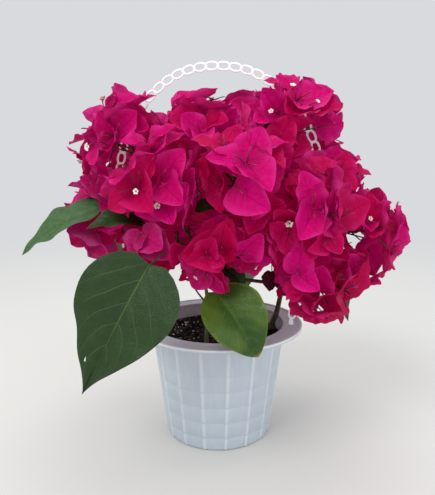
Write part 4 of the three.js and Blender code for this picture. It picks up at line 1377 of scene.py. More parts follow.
GROOVES = (13, 28.5, 44, 59.5, 75)
GROOVE_HALF_WIDTH = 1.1
# The painted shade in the grooves grows fainter up to about this height
GROOVE_FADE = 80
# How strongly the rim's outer edge is painted with highlight
RIM_HIGHLIGHT = 2.5
# A rib's section: share of its half width and of its height
RIB_SECTION = ((-1, 0), (-0.72, 0.5), (-0.5, 0.93), (0, 1), (0.5, 0.93), (0.72, 0.5), (1, 0))
STEPS_BETWEEN_RIBS = 5
SLOT_PLAY = 0.6
SLOT_DEPTH = 6
POT_CREASE_DEG = 32
# The pot's worn tone, also used for painted shade in the grooves, its roughness and the tone of the
# painted highlight on its ribs and rim
POT_FINISH = ((0.45, 0.49, 0.55, 1), 0.3, (0.86, 0.9, 0.94, 1))


def lathe(shape, profile, offsets, tint, angles):
    """A closed turned body: profile points (radius, height), the first and last on the axis."""
    inner = np.array(profile[1:-1], float)
    columns, rows = len(angles), len(inner)
    radius = inner[:, 0] + offsets
    x, y = radius * np.sin(angles)[:, None], -radius * np.cos(angles)[:, None]
    z = np.broadcast_to(inner[:, 1], radius.shape)
    ends = [(0, 0, profile[0][1]), (0, 0, profile[-1][1])]
    points = np.vstack([np.stack([x, y, z], axis=2).reshape(-1, 3), ends])
    first = columns * rows
    ring = closed_ring(columns, rows)
    tris = np.vstack([fan_faces(first, ring, flip=True), fan_faces(first + 1, ring + rows - 1)])
    quads = net_faces(columns, rows, True, False, flip=True)
    shape.add(points, quads, tris, tint=np.append(tint, (0, 0)))


def rounded(points, corners, steps=4):
    """A profile with the named corners cut round: corners maps an index to its radius."""
    points = [np.array(p, float) for p in points]
    made = []
    for i, point in enumerate(points):
        if i not in corners:
            made.append(point)
            continue
        start, end = (point + unit(points[k] - point) * corners[i] for k in (i - 1, i + 1))
        for share in np.linspace(0, 1, steps + 1):
            rest = 1 - share
            made.append(rest**2 * start + 2 * share * rest * point + share**2 * end)
    return made


def wall_radius(height):
    return BASE_RADIUS + (WALL_TOP_RADIUS - BASE_RADIUS) * height / FLANGE_UNDER


def pot_profile(groove_depth):
    """The pot's section from the middle of its underside round to the middle of its floor."""
    outer = []
    for height in GROOVES:
        for offset, sunk in ((-1, 0), (-0.45, 1), (0.45, 1), (1, 0)):
            z = height + offset * GROOVE_HALF_WIDTH
            outer.append((wall_radius(z) - sunk * groove_depth, z))
    flange = rounded(
        [
            (FLANGE_RADIUS - 6, FLANGE_UNDER),
            (FLANGE_RADIUS, FLANGE_UNDER),
            (FLANGE_RADIUS, POT_HEIGHT),
            (FLANGE_RADIUS - 2.2, POT_HEIGHT),
            (FLANGE_RADIUS - 3.4, POT_HEIGHT - FLANGE_DISH),
            (OPENING_RADIUS + 5, POT_HEIGHT - FLANGE_DISH),
            (OPENING_RADIUS + 2.4, POT_HEIGHT),
            (OPENING_RADIUS, POT_HEIGHT),
            (OPENING_RADIUS, POT_HEIGHT - 3),
        ],
        {1: 0.5, 2: 0.9, 3: 0.7, 4: 0.8, 5: 1, 6: 0.8, 7: 0.8},
    )
    base = rounded([(BASE_RADIUS - 6, 0), (BASE_RADIUS, 0), (wall_radius(6), 6)], {1: 2.2})
    inner_floor = wall_radius(FLOOR) - WALL
    return [
        (0, 0),
        (BASE_RADIUS - 12, 0),
        *base,
        *outer,
        (WALL_TOP_RADIUS - 0.3, FLANGE_UNDER - 2),
        (WALL_TOP_RADIUS + 0.2, FLANGE_UNDER - 0.5),
        (WALL_TOP_RADIUS + 1, FLANGE_UNDER),
        *flange,
        (wall_radius(SOIL_TOP) - WALL, SOIL_TOP),
        (inner_floor + 2, FLOOR + 6),
        (inner_floor, FLOOR),
        (0, FLOOR),
    ]


def rib_columns(rib_width):
    """Angles round the pot and how much of a rib's height each has."""
    half = math.degrees(rib_width / MM / 2 / WALL_TOP_RADIUS)
    pitch = 360 / RIBS
    between = np.arange(1, STEPS_BETWEEN_RIBS)
    offsets, heights = np.array(RIB_SECTION).T
    offsets = np.append(offsets * half, half + (pitch - 2 * half) * between / STEPS_BETWEEN_RIBS)
    heights = np.append(heights, 0 * between)
    angles = np.radians(FIRST_RIB_DEG + np.arange(RIBS)[:, None] * pitch + offsets)
    return angles.ravel(), np.tile(heights, RIBS)


def strap_slot(side):
    """A cutter for the slot that a strap foot goes through."""
    slot = Shape()
    half = np.array([TONGUE_HALF_WIDTH + SLOT_PLAY, STRAP_THICKNESS / 2 + SLOT_PLAY, SLOT_DEPTH])
    corners = [(x, y, z) for z in (-1, 1) for x, y in ((-1, -1), (1, -1), (1, 1), (-1, 1))]
    points = np.array(corners) * half + (side * TONGUE_RADIUS, 0, POT_HEIGHT)
    quads = [(3, 2, 1, 0), (4, 5, 6, 7), *net_faces(2, 4)]
    slot.add(points @ spin(math.radians(STRAP_TURN_DEG)), quads)
    return slot.build("slot_cutter")


def cut(piece, cutter):
    """Cuts one mesh out of another and drops the cutter."""
    modifier = piece.modifiers.new("slot", "BOOLEAN")
    modifier.operation = "DIFFERENCE"
    modifier.object = cutter
    with bpy.context.temp_override(object=piece, active_object=piece):
        bpy.ops.object.modifier_apply(modifier=modifier.name)
    bpy.data.objects.remove(cutter)


def smooth_by_angle(piece, degrees):
    chosen = [piece]
    with bpy.context.temp_override(
        object=piece, active_object=piece, selected_objects=chosen, selected_editable_objects=chosen
    ):
        bpy.ops.object.shade_smooth_by_angle(angle=math.radians(degrees))


class BUSH_OT_pot(Operator):
    """Makes the ribbed pot with its dished flange"""

    bl_idname = "bush.pot"
    bl_label = "Pot"

    def execute(self, context):
        settings = context.scene.potted_bush.pot
        profile = pot_profile(settings.groove_depth / MM)
        radius, height = np.array(profile)[1:-1].T
        on_wall = (radius > BASE_RADIUS - 1) & (radius < WALL_TOP_RADIUS + 0.1)
        on_wall &= (height > 1) & (height < FLANGE_UNDER)
        on_wall &= radius > wall_radius(height) - 0.6 * WALL
        on_rim = (radius > FLANGE_RADIUS - 1.6) & (height > FLANGE_UNDER + 0.6)
        in_groove = np.abs(height[:, None] - GROOVES).min(1) < 0.5 * GROOVE_HALF_WIDTH
        # How much painted shade each groove gets, less higher up the wall
        groove_shade = on_wall * in_groove * np.clip(1.1 - height / GROOVE_FADE, 0.25, 1)
        angles, ribs = rib_columns(settings.rib_width)
        on_rib = ribs[:, None] * on_wall
        shape = Shape()
        # The tint paints highlight on the ribs and the rim's edge and shade in the grooves
        tint = on_rib - groove_shade + RIM_HIGHLIGHT * on_rim
        lathe(shape, profile, on_rib * settings.rib_height / MM, tint, angles)
        material = plastic_material("pot_plastic", settings.plastic, *POT_FINISH)
        piece = shape.build("ribbed_pot", material)
        for side in (1, -1):
            cut(piece, strap_slot(side))
        smooth_by_angle(piece, POT_CREASE_DEG)
        place_piece(piece, "pot_plastic", "pot")
        return {"FINISHED"}


SOIL_RINGS = 40
SOIL_COLUMNS = 128
# Lumps in the soil's surface: height, fineness and layer of the noise
SOIL_LUMPS = ((0.5, 0.09, 0.3), (0.35, 0.5, 2), (0.2, 1.3, 5))
SOIL_ROUGH = 0.8
SOIL_SUNK = 0.2
# Near the wall the surface falls: from this radius on, by this much over this width
SOIL_FALLS_FROM = 54
SOIL_FALL = 1.4
SOIL_FALL_WIDTH = 6
# Lumps on the soil: colour, least and greatest size, seed and flatness
GRAIN_FORM = ((0.7, 0.68, 0.62, 1), (0.5, 1.25), 41, 0.75)
BARK_BIT_FORM = ((0.05, 0.03, 0.018, 1), (0.8, 2.4), 77, 0.45)
SCATTER_RADIUS = 56


class BUSH_OT_soil(Operator):
    """Makes the potting mix with its pale grains and bits of bark"""

    bl_idname = "bush.soil"
    bl_label = "Soil"

    def execute(self, context):
        settings = context.scene.potted_bush.pot
        edge, foot = (wall_radius(height) - WALL - GAP for height in (SOIL_TOP, FLOOR))
        rings = [0.5, *np.linspace(2, edge - 0.6, SOIL_RINGS), edge, foot]
        angles = np.arange(SOIL_COLUMNS) / SOIL_COLUMNS * TURN
        radius, angle = np.meshgrid(rings, angles)
        x, y = radius * np.sin(angle), -radius * np.cos(angle)
        z = np.vectorize(self.height)(x, y, radius)
        z[:, -1] = FLOOR + GAP
        ends = [(0, 0, self.height(0, 0, 0)), (0, 0, FLOOR + GAP)]
        points = np.vstack([np.stack([x, y, z], axis=2).reshape(-1, 3), ends])
        rows = len(rings)
        middle = SOIL_COLUMNS * rows
        ring = closed_ring(SOIL_COLUMNS, rows)
        tris = [fan_faces(middle, ring), fan_faces(middle + 1, ring + rows - 1, flip=True)]
        shape = Shape()
        shape.add(points, net_faces(SOIL_COLUMNS, rows, True, False), np.vstack(tris))
        piece = shape.build("soil_surface", soil_material(settings.soil))
        place_piece(piece, "soil_mix", "soil")
        self.scatter(settings.grains, "pale_grains", *GRAIN_FORM)
        self.scatter(settings.grains * 2, "bark_bits", *BARK_BIT_FORM)
        return {"FINISHED"}

    def height(self, x, y, radius):
        """The surface's height, with lumps of three sizes, lower near the wall."""
        rough = sum(
            high * noise.noise((x * fine, y * fine, layer)) for high, fine, layer in SOIL_LUMPS
        )
        fall = SOIL_FALL * max(0, radius - SOIL_FALLS_FROM) / SOIL_FALL_WIDTH
        return SOIL_TOP - SOIL_SUNK + SOIL_ROUGH * rough - fall

    def scatter(self, count, name, tone, sizes, seed, flat):
        """Small lumps that sit half sunk in the surface."""
        random = Numbers(seed)
        ball, faces = [(0, 0, 1), (0, 0, -1)], []
        for shift, high in ((0, 0.45), (0.5, -0.45)):
            turns = [(k + shift) * TURN / 5 for k in range(5)]
            ball += [(math.cos(turn) * 0.9, math.sin(turn) * 0.9, high) for turn in turns]
        for k in range(5):
            a, b = 2 + k, 2 + (k + 1) % 5
            faces += [(0, a, b), (1, b + 5, a + 5), (a, a + 5, b), (b, a + 5, b + 5)]
        shape = Shape()
        for _ in range(count):
            radius = SCATTER_RADIUS * math.sqrt(random.draw())
            angle = random.draw() * TURN
            x, y = radius * math.sin(angle), -radius * math.cos(angle)
            size = sizes[0] + (sizes[1] - sizes[0]) * random.draw() ** 2
            turn = random.draw() * TURN
            stretch = random.varied(0.7, 0.6)
            lump = np.array([[v * random.varied(0.75, 0.5) for v in corner] for corner in ball])
            points = lump * (size * stretch, size / stretch, size * flat)
            lift = self.height(x, y, radius) + 0.15 * size
            shape.add(points @ spin(turn) + (x, y, lift), tris=faces, tint=random.draw())
        piece = shape.build(name, grain_material(name, tone))
        for polygon in piece.data.polygons:
            polygon.use_smooth = False
        place_piece(piece, "soil_mix")


RING_STEPS = 26
RING_SIDES = 8
# How far rings run into one another, in shares of a bar, and how blunt their ends are
RING_OVERLAP = 0.35
RING_BLUNTNESS = 0.9
STRAP_CREASE_DEG = 50
STRAP_WEAR = (0.78, 0.79, 0.81, 1)
STRAP_ROUGHNESS = 0.34
# An emission, painted light that keeps the strap white where it lies in shade
STRAP_PAINTED_GLOW = 0.22
# The eight corners of a strap foot's section, in shares of its half width and half thickness
FOOT_SECTION = (
    (-1, -0.7), (-0.9, -1), (0.9, -1), (1, -0.7), (1, 0.7), (0.9, 1), (-0.9, 1), (-1, 0.7),
)


class BUSH_OT_strap(Operator):
    """Makes the carrying strap of moulded rings with its two feet"""

    bl_idname = "bush.strap"
    bl_label = "Carrying strap"

    def execute(self, context):
        settings = context.scene.potted_bush.pot
        flat = Path([(x, z, 0) for x, z in STRAP_PATH])
        rings = round(flat.length / RING_PITCH)
        bar = settings.ring_bar / MM / 2
        half_long = flat.length / rings / 2 + RING_OVERLAP * bar
        half_wide = RING_HALF_WIDTH - bar
        around, section = (np.arange(n) / n * TURN for n in (RING_STEPS, RING_SIDES))
        turned, lifted = np.cos(around)[:, None], np.sin(around)[:, None]
        long = np.sign(turned) * np.abs(turned) ** RING_BLUNTNESS * half_long
        skin = (np.cos(section) * bar)[:, None]
        high = (np.sin(section) * STRAP_THICKNESS / 2)[:, None]
        quads = net_faces(RING_STEPS, RING_SIDES, True)
        shape = Shape()
        for ring in range(rings):
            share = (ring + 0.5) / rings
            middle, ahead = flat.at(share), flat.tangent(share)
            beside = np.array([-ahead[1], ahead[0], 0])
            line = middle + long * ahead + lifted * half_wide * beside
            out = unit(turned * ahead * half_wide + lifted * beside * half_long)
            points = line[:, None] + out[:, None] * skin + np.array([0, 0, 1]) * high
            shape.add(self.upright(points.reshape(-1, 3)), quads)
        for side in (1, -1):
            self.add_foot(shape, side)
        material = plastic_material(
            "strap_plastic", settings.strap, STRAP_WEAR, STRAP_ROUGHNESS, painted_glow=STRAP_PAINTED_GLOW
        )
        piece = shape.build("ring_strap", material)
        smooth_by_angle(piece, STRAP_CREASE_DEG)
        place_piece(piece, "strap_plastic", "carrying_strap")
        return {"FINISHED"}

    def upright(self, points):
        """Points of the strap's own plane, given as across, up and forward, in the frame."""
        return points[:, (0, 2, 1)] @ spin(math.radians(STRAP_TURN_DEG))

    def add_foot(self, shape, side):
        """A tongue that goes down through the flange and ends in a nub under it."""
        under = FLANGE_UNDER - GAP
        levels = [
            (POT_HEIGHT + FOOT_HEIGHT + 0.8, 1.1),
            (POT_HEIGHT + 3, 1.6),
            (POT_HEIGHT + 1, TONGUE_HALF_WIDTH),
            (under, TONGUE_HALF_WIDTH),
            (under, NUB_HALF_WIDTH),
            (under - 1.2, NUB_HALF_WIDTH),
            (under - NUB_HEIGHT, NUB_HALF_WIDTH - 1),
        ]
        points = [
            (side * TONGUE_RADIUS + a * half, height, b * STRAP_THICKNESS / 2)
            for height, half in levels
            for a, b in FOOT_SECTION
        ]
        corners = len(FOOT_SECTION)
        last = (len(levels) - 1) * corners
        ends = [(0, k + 2, k + 1, k) for k in (1, 3, 5)]
        ends += [(last, last + k, last + k + 1, last + k + 2) for k in (1, 3, 5)]
        quads = np.vstack([net_faces(len(levels), corners), ends])
        shape.add(self.upright(np.array(points)), quads)


# Stems, twigs, leaves and blossom

WOODY_LIMBS = ("main_stem", "bough_left", "bough_back_low")
LIMB_STEP = 1.6
LIMB_SIDES = 14
# Limbs thinner than this have less relief
FULL_RELIEF_RADIUS = 2.2
RIDGE_TURNS = (2, 3, 5)
RIDGE_DRIFT = 0.12
RIDGE_RISE = 0.12
# Swellings along a limb: the first one's place, the steps between them, their rise and length
FIRST_SWELLING = (8, 14)
SWELLING_STEPS = (12, 24)
SWELLING_RISE = 0.42
SWELLING_LENGTH = 1.5
BARE_TWIG = [(-10.9, -32, 135), (-14.7, -34, 140.1), (-20, -34, 147.4), (-24.3, -34, 154.8)]
BARE_TWIG_RADII = 1.0 - 0.45 * np.linspace(0, 1, 16)
BARE_TWIG_SIDES = 9
# Tones beside the bark's own
OLD_BARK_STREAKS = (0.045, 0.03, 0.018, 1)
YOUNG_BARK_TONES = ((0.075, 0.09, 0.03, 1), (0.2, 0.11, 0.07, 1))


def bark_relief(rings, step, seed):
    """Long ridges, and swellings where leaves once sat, for a limb's skin."""
    random = np.random.default_rng(seed)
    around = np.arange(LIMB_SIDES) / LIMB_SIDES * TURN
    along = np.arange(rings) * step
    relief = np.zeros((rings, LIMB_SIDES))
    for turns in RIDGE_TURNS:
        drift = np.cumsum(random.normal(0, RIDGE_DRIFT, rings))
        relief += np.sin(turns * around + drift[:, None] + random.uniform(0, TURN)) / turns
    relief *= RIDGE_RISE
    spot = random.uniform(*FIRST_SWELLING)
    while spot < along[-1] - 4:
        swell = np.exp(-(((along - spot) / SWELLING_LENGTH) ** 2))[:, None]
        facing = 0.6 + 0.4 * np.cos(around - random.uniform(0, TURN))
        relief += SWELLING_RISE * swell * facing
        spot += random.uniform(*SWELLING_STEPS)
    return relief[None]


class BUSH_OT_limbs(Operator):
    """Makes the stems and boughs with the bark's relief"""

    bl_idname = "bush.limbs"
    bl_label = "Stems and boughs"

    def execute(self, context):
        settings = context.scene.potted_bush.leaf
        bark, shoot = (*settings.bark, 1), (*settings.shoot, 1)
        old = bark_material("old_bark", bark, OLD_BARK_STREAKS, shoot, 0.12)
        young = bark_material("young_bark", shoot, *YOUNG_BARK_TONES)
        green = [name for name in crown().limbs if name not in WOODY_LIMBS]
        for title, names, material in (
            ("woody_stems", WOODY_LIMBS, old), ("green_boughs", green, young),
        ):
            shape = Shape()
            for name in names:
                self.add_limb(shape, crown().limbs[name], len(name) + len(shape.points))
            place_piece(shape.build(title, material), "bark", *names)
        shape = Shape()
        add_tube(shape, Path(BARE_TWIG), BARE_TWIG_RADII, BARE_TWIG_SIDES)
        place_piece(shape.build("bare_twig", old), "bark")
        return {"FINISHED"}

    def add_limb(self, shape, limb, seed):
        rings = max(8, math.ceil(limb.path.length / LIMB_STEP))
        relief = bark_relief(rings, limb.path.length / rings, seed)
        relief *= min(1, limb.radii[0] / FULL_RELIEF_RADIUS)
        radii = limb.radius(np.linspace(0, 1, rings))
        add_tube(shape, limb.path, radii, LIMB_SIDES, relief=relief)


def bend_line(start, end, lift, count):
    """A line from start to end with a slight bow."""
    share = np.linspace(0, 1, count)[:, None]
    return start + (end - start) * share + lift * np.sin(math.pi * share)


TWIG_SEED = 5
TWIG_RINGS = 7
TWIG_SIDES = 6
TWIG_BOW = 0.12
TWIG_TAPER = 0.8
# A finer group's twig against a main one's
FINE_TWIG_SHARE = 0.8
STEM_RADII = 1.05 - 0.3 * np.linspace(0, 1, 16)
STEM_SIDES = 8
STEM_TINT = 0.2
TWIG_TONES = ((0.12, 0.15, 0.05, 1), (0.07, 0.06, 0.03, 1), (0.16, 0.05, 0.05, 1))


class BUSH_OT_twigs(Operator):
    """Makes the stems of the masses and the twigs of the flower groups"""

    bl_idname = "bush.twigs"
    bl_label = "Twigs"

    def execute(self, context):
        radius = context.scene.potted_bush.crown.twig_radius / MM
        shape = Shape()
        for stem in crown().stems.values():
            add_tube(shape, stem, STEM_RADII, STEM_SIDES, STEM_TINT)
        random = np.random.default_rng(TWIG_SEED)
        lines, radii, tints = [], [], []
        for group in crown().groups:
            reach = group.place - group.root
            bow = np.cross(reach, group.axis) * random.uniform(-TWIG_BOW, TWIG_BOW)
            lines.append(bend_line(group.root, group.place, bow, TWIG_RINGS))
            size = radius * (1 if group.fine == 0 else FINE_TWIG_SHARE)
            radii.append(size * np.linspace(1, TWIG_TAPER, TWIG_RINGS))
            tints.append(random.uniform(0.2, 1))
        add_tubes(shape, lines, radii, TWIG_SIDES, tints)
        material = bark_material("twig_bark", *TWIG_TONES, 0.1)
        place_piece(shape.build("twigs", material), "bark")
        return {"FINISHED"}


BRACT_SEED = 23
BRACT_ROWS = np.array([0.02, 0.06, 0.12, 0.2, 0.29, 0.38, 0.48, 0.58, 0.68, 0.77, 0.85, 0.92, 0.97])
BRACT_COLUMNS = 10
BRACT_DRAWS = 8
BRACT_BASE_POWER = 0.42
BRACT_TIP_POWER = 0.84
CREASE = 0.016
# Each tone's base, its shade, and the paler underside tone that is also painted along the edges as
# a highlight
TONES = {
    "bright": (srgb(200, 0, 112), srgb(186, 0, 88), srgb(220, 66, 156)),
    "crimson": (srgb(190, 0, 84), srgb(172, 0, 66), srgb(212, 50, 136)),
    "magenta": (srgb(194, 0, 104), srgb(178, 0, 82), srgb(218, 68, 154)),
    "deep": (srgb(184, 0, 74), srgb(164, 0, 56), srgb(198, 38, 112)),
    "mauve": (srgb(186, 22, 104), srgb(164, 6, 80), srgb(190, 88, 150)),
}
MAUVE_MASSES = ("left", "low_left")
# The tint that a whole spray shares, and what each bract adds, at most
SPRAY_TINT = 0.7
BRACT_TINT = 0.3
MAUVE_CHANCE = 0.45
MAGENTA_CHANCE = 0.4
CRIMSON_CHANCE = 0.55
# A spray's score grows with its height over a level, its distance from the heart and chance; height
# and distance paint light on the top and outside of the crown and shade deep inside it
SCORE_SHARES = (0.35, 0.35, 0.6)
BRIGHT_FROM = 0.86
MIDDLING_FROM = 0.62
SCORE_LEVEL = 150
SCORE_HEIGHT = 180
SCORE_DEPTH = 110


def bract_local(sizes, draws, ripple, cup):
    """Along, across and up of the points of many bracts, from each bract's own random numbers."""
    share, side = (values[None] for values in blade_shares(BRACT_ROWS, BRACT_COLUMNS))
    edge = np.abs(side)
    turn, waves, skew, curl, wide, twist, lobe, fold = (
        draws[:, k : k + 1] for k in range(BRACT_DRAWS)
    )
    profile = leaf_profile(share, BRACT_TIP_POWER, BRACT_BASE_POWER)
    half = 0.5 * BRACT_WIDTH * (1 + 0.18 * wide) * profile
    along = share - (0.05 + 0.07 * lobe) * edge**1.6 * (1 - share) ** 5
    wave = np.sin(TURN * ((1.4 + 1.5 * waves) * share + turn + np.sign(side) * skew * 0.4))
    fine = np.sin(TURN * ((3 + 1.5 * skew) * share - turn + np.sign(side) * waves))
    window = np.sin(math.pi * np.clip(share * 1.05, 0, 1)) ** 0.6
    rise = cup * (0.4 * edge + 0.6 * edge**2) * np.sin(math.pi * share**0.7) * (0.3 + 1.2 * fold)
    rise = rise - 0.05 * np.sin(math.pi * share)
    rise = rise + ripple * edge**2 * window * (wave + 0.2 * fine)
    rise = rise + CREASE * np.sin(TURN * (2 * edge - 1.5 * share + waves)) * window
    rise = rise - (0.05 + 0.16 * curl) * share**3
    lean = (twist - 0.5) * 0.5 * share
    sunk, level = np.sin(lean), np.cos(lean)
    across = half * side
    local = [along, across * level - rise * sunk, across * sunk + rise * level]
    return np.stack(local, axis=2) * sizes[:, None, None]


def add_bracts(shape, roots, axes, sizes, tints, draws, ripple, cup):
    """Adds many bracts, each with its own row of random numbers."""
    local = bract_local(sizes, draws, ripple, cup)
    add_blades(shape, local, roots, axes, BRACT_ROWS, BRACT_COLUMNS, tints)


def tone_of(group, random):
    """A spray's tone: often mauve low on the left, otherwise mixed, with painted light: brighter
    towards the top and outside, darker deep in the crown.
    """
    chance = random.random()
    if MASS_NAMES[group.mass] in MAUVE_MASSES and chance < MAUVE_CHANCE:
        return "mauve"
    height = (group.place[2] - SCORE_LEVEL) / SCORE_HEIGHT
    depth = np.linalg.norm(group.place - CROWN_HEART) / SCORE_DEPTH
    by_height, by_depth, by_chance = SCORE_SHARES
    score = by_height * height + by_depth * depth + by_chance * random.random()
    if score > BRIGHT_FROM:
        return "bright"
    if score > MIDDLING_FROM:
        return "magenta" if chance < MAGENTA_CHANCE else "crimson"
    return "crimson" if chance < CRIMSON_CHANCE else "deep"


class BUSH_OT_bracts(Operator):
    """Makes the papery bracts, a piece for each tone"""

    bl_idname = "bush.bracts"
    bl_label = "Bracts"

    def execute(self, context):
        settings = context.scene.potted_bush.crown
        random = np.random.default_rng(BRACT_SEED)
        dealt = {tone: [] for tone in TONES}
        for group in crown().groups:
            tone = tone_of(group, random)
            tint = random.uniform(0, SPRAY_TINT)
            for bract in group.bracts:
                dealt[tone].append((*bract, min(1, tint + random.uniform(0, BRACT_TINT))))
        names = ["blossom_" + name for name in MASS_NAMES]
        for tone, bracts in dealt.items():
            draws = random.random((len(bracts), BRACT_DRAWS))
            forms = (np.array(values) for values in zip(*bracts))
            shape = Shape()
            add_bracts(shape, *forms, draws, settings.ripple, settings.cup)
            piece = shape.build("bracts_" + tone, bract_material("bract_" + tone, *TONES[tone]))
            place_piece(piece, "bracts", *(names if tone == "bright" else ()))
        return {"FINISHED"}


FLOWER_SEED = 91
# A flower tube's radius from its base to its end, against its widest
TUBE_SWELL = np.array([0.55, 0.8, 0.95, 0.8, 0.75, 0.85, 1.0, 0.55])
TUBE_RADIUS = 0.7
TUBE_FOOT = 1.5
TUBE_SIDES = 7
TUBE_VARIES = (0.75, 1.1)
STAR_VARIES = (0.6, 1.1)
# Open flowers stand only this far out from the crown's middle
OPEN_BEYOND = 40
STAR_COLUMNS = 30
# An open flower's rings from throat to rim: share of its radius and rise
STAR_RINGS = ((0.16, -0.5), (0.3, 0.02), (0.55, 0.2), (0.8, 0.24), (1.0, 0.16))


class BUSH_OT_flowers(Operator):
    """Makes the small true flowers: closed tubes, and cream stars where they're open"""

    bl_idname = "bush.flowers"
    bl_label = "Flowers"

    def execute(self, context):
        settings = context.scene.potted_bush.crown
        random = np.random.default_rng(FLOWER_SEED)
        lines, radii, tints, stars = [], [], [], []
        tube = settings.tube_length / MM
        for group in crown().groups:
            if not group.bracts:
                continue
            outer = np.dot(group.place - CROWN_HEART, group.axis) > OPEN_BEYOND
            opened = random.random() < settings.open_share and outer and group.fine in (0, 1)
            which = random.integers(0, len(group.bracts))
            for k, (root, axes, size) in enumerate(group.bracts):
                along, _, up = axes
                reach = tube * random.uniform(*TUBE_VARIES) * size / BRACT_LENGTH
                lean = unit(along * 0.8 + up * 0.42)
                foot = root + along * TUBE_FOOT
                end, start, bow = foot + lean * reach, foot + up * 0.3, up * reach * 0.06
                lines.append(bend_line(start, end, bow, len(TUBE_SWELL)))
                radii.append(TUBE_SWELL * TUBE_RADIUS * size / BRACT_LENGTH)
                tints.append(random.random())
                if opened and k == which:
                    stars.append((end, unit(lean + up * 0.6), random.random() * TURN))
        shape = Shape()
        add_tubes(shape, lines, radii, TUBE_SIDES, tints)
        material = flower_material("flower_tube", srgb(122, 0, 52), srgb(150, 36, 66))
        place_piece(shape.build("flower_tubes", material), "bracts")
        shape = Shape()
        for star in stars:
            size = settings.star_radius / MM * random.uniform(*STAR_VARIES)
            self.add_star(shape, *star, size)
        material = flower_material(
            "flower_star", srgb(244, 236, 208), srgb(252, 250, 240), srgb(214, 206, 142)
        )
        place_piece(shape.build("flower_stars", material), "bracts")
        return {"FINISHED"}

    def add_star(self, shape, place, axis, turn, radius):
        """A shallow trumpet with five notched lobes."""
        first, second = square_to(axis)
        around = np.arange(STAR_COLUMNS) / STAR_COLUMNS * TURN
        lobes = 0.56 + 0.44 * np.abs(np.cos(2.5 * around)) ** 0.7
        notch = 1 - 0.16 * np.exp(-((np.mod(around * 5 / TURN + 0.5, 1) - 0.5) / 0.1) ** 2)
        ring = np.cos(around + turn)[:, None] * first + np.sin(around + turn)[:, None] * second
        points = []
        for share, rise in STAR_RINGS:
            reach = radius * share * (1 + (lobes * notch - 1) * share**2)
            wave = 0.06 * np.cos(5 * around + turn) * share
            points.append(place + ring * reach[:, None] + axis * (radius * (rise + wave))[:, None])
        points = np.vstack([*points, place - axis * 0.4 * radius])
        rings = len(STAR_RINGS)
        quads = net_faces(rings, STAR_COLUMNS, flip=True)
        tris = fan_faces(rings * STAR_COLUMNS, closed_ring(STAR_COLUMNS))
        shares = np.repeat([share for share, _ in STAR_RINGS], STAR_COLUMNS)
        uv = np.vstack([np.stack([shares, np.tile(around / TURN, rings)], 1), (0, 0)])
        shape.add(points, quads, tris, uv, turn / TURN)


LEAF_ROWS = np.array([0.012, 0.04, *np.linspace(0.08, 0.92, 25), 0.96, 0.985])
LEAF_COLUMNS = 20
LEAF_WAVE = 0.022
STALK_SIDES = 9
# A small hole in one blade: its place in share and side, and how far one corner is drawn in
TORN_LEAF = "leaf_front_left"
TEAR_AT = (0.73, -0.65)
TEAR_DRAWN_IN = 0.95


def leaf_shape(blade, quilting, seed):
    """The points of a leaf: the source's blade with quilting between veins and a wavy margin."""
    random = np.random.default_rng(seed)
    share, side = blade_shares(LEAF_ROWS, LEAF_COLUMNS)
    x, y, z = blade.local(share, -side)
    edge, arch = np.abs(side), np.sin(math.pi * share)
    lobe = 0.05 * edge**1.8 * (1 - share) ** 6 * blade.length
    ladder = share * SIDE_VEINS - edge**VEIN_BEND * VEIN_SLANT
    pillow = np.abs(np.cos(math.pi * ladder))
    fade = np.clip(edge * 4, 0, 1) * (1 - edge**4) * arch**0.5
    phase = random.uniform(0, TURN, 2)
    ripple = np.sin(TURN * 2.3 * share + phase[0] + np.sign(side)) * edge**2
    ripple = ripple + 0.5 * np.sin(TURN * 4.1 * share + phase[1] - np.sign(side)) * edge**3
    rib = -0.6 * np.exp(-((side / 0.07) ** 2)) * arch**0.4
    z = z + quilting * pillow * fade + rib
    z = z + LEAF_WAVE * blade.length * ripple * arch**0.7
    return blade.place(x - lobe, y, z)


class BUSH_OT_leaves(Operator):
    """Makes the large leaves that hang out of the crown, with their stalks"""

    bl_idname = "bush.leaves"
    bl_label = "Large leaves"

    def execute(self, context):
        settings = context.scene.potted_bush.leaf
        dark = leaf_material("leaf_dark", (*settings.green, 1), srgb(96, 124, 66))
        margined = leaf_material(
            "leaf_margined", srgb(50, 86, 26), srgb(120, 142, 62), srgb(104, 128, 34)
        )
        # Painted sheen: leaf_left, leaf_low_right and leaf_back_low get a paler green for the light
        # that grazes their upper faces
        young = leaf_material("leaf_sheen_lit", (*settings.sheen_green, 1), srgb(130, 160, 80))
        special = {"leaf_front_centre": margined}
        special.update(dict.fromkeys(("leaf_left", "leaf_low_right", "leaf_back_low"), young))
        quads, tris = blade_faces(len(LEAF_ROWS), LEAF_COLUMNS)
        share, side = blade_shares(LEAF_ROWS, LEAF_COLUMNS)
        uv = np.stack([share, (side + 1) / 2], axis=1)
        spots = np.stack([share[quads].mean(1), side[quads].mean(1)], axis=1)
        hole = np.argmin(np.linalg.norm(spots - TEAR_AT, axis=1))
        stalk_radii = 0.85 * STALK_RADIUS * (1 - 0.35 * np.sin(math.pi * np.linspace(0, 1, 20)))
        for seed, (name, (_, _, *form)) in enumerate(LEAVES.items()):
            blade = LeafBlade(*form)
            points = leaf_shape(blade, settings.quilting / MM * blade.length / 100, seed)
            kept = quads
            if name == TORN_LEAF:
                kept = np.delete(quads, hole, axis=0)
                corner = quads[hole][0]
                points[corner] += TEAR_DRAWN_IN * (points[quads[hole]].mean(0) - points[corner])
            shape = Shape()
            shape.add(points, kept, tris, uv)
            add_tube(shape, stalk_path(name, crown().limbs), stalk_radii, STALK_SIDES)
            place_piece(shape.build(name + "_blade", special.get(name, dark)), "leaves", name)
        return {"FINISHED"}


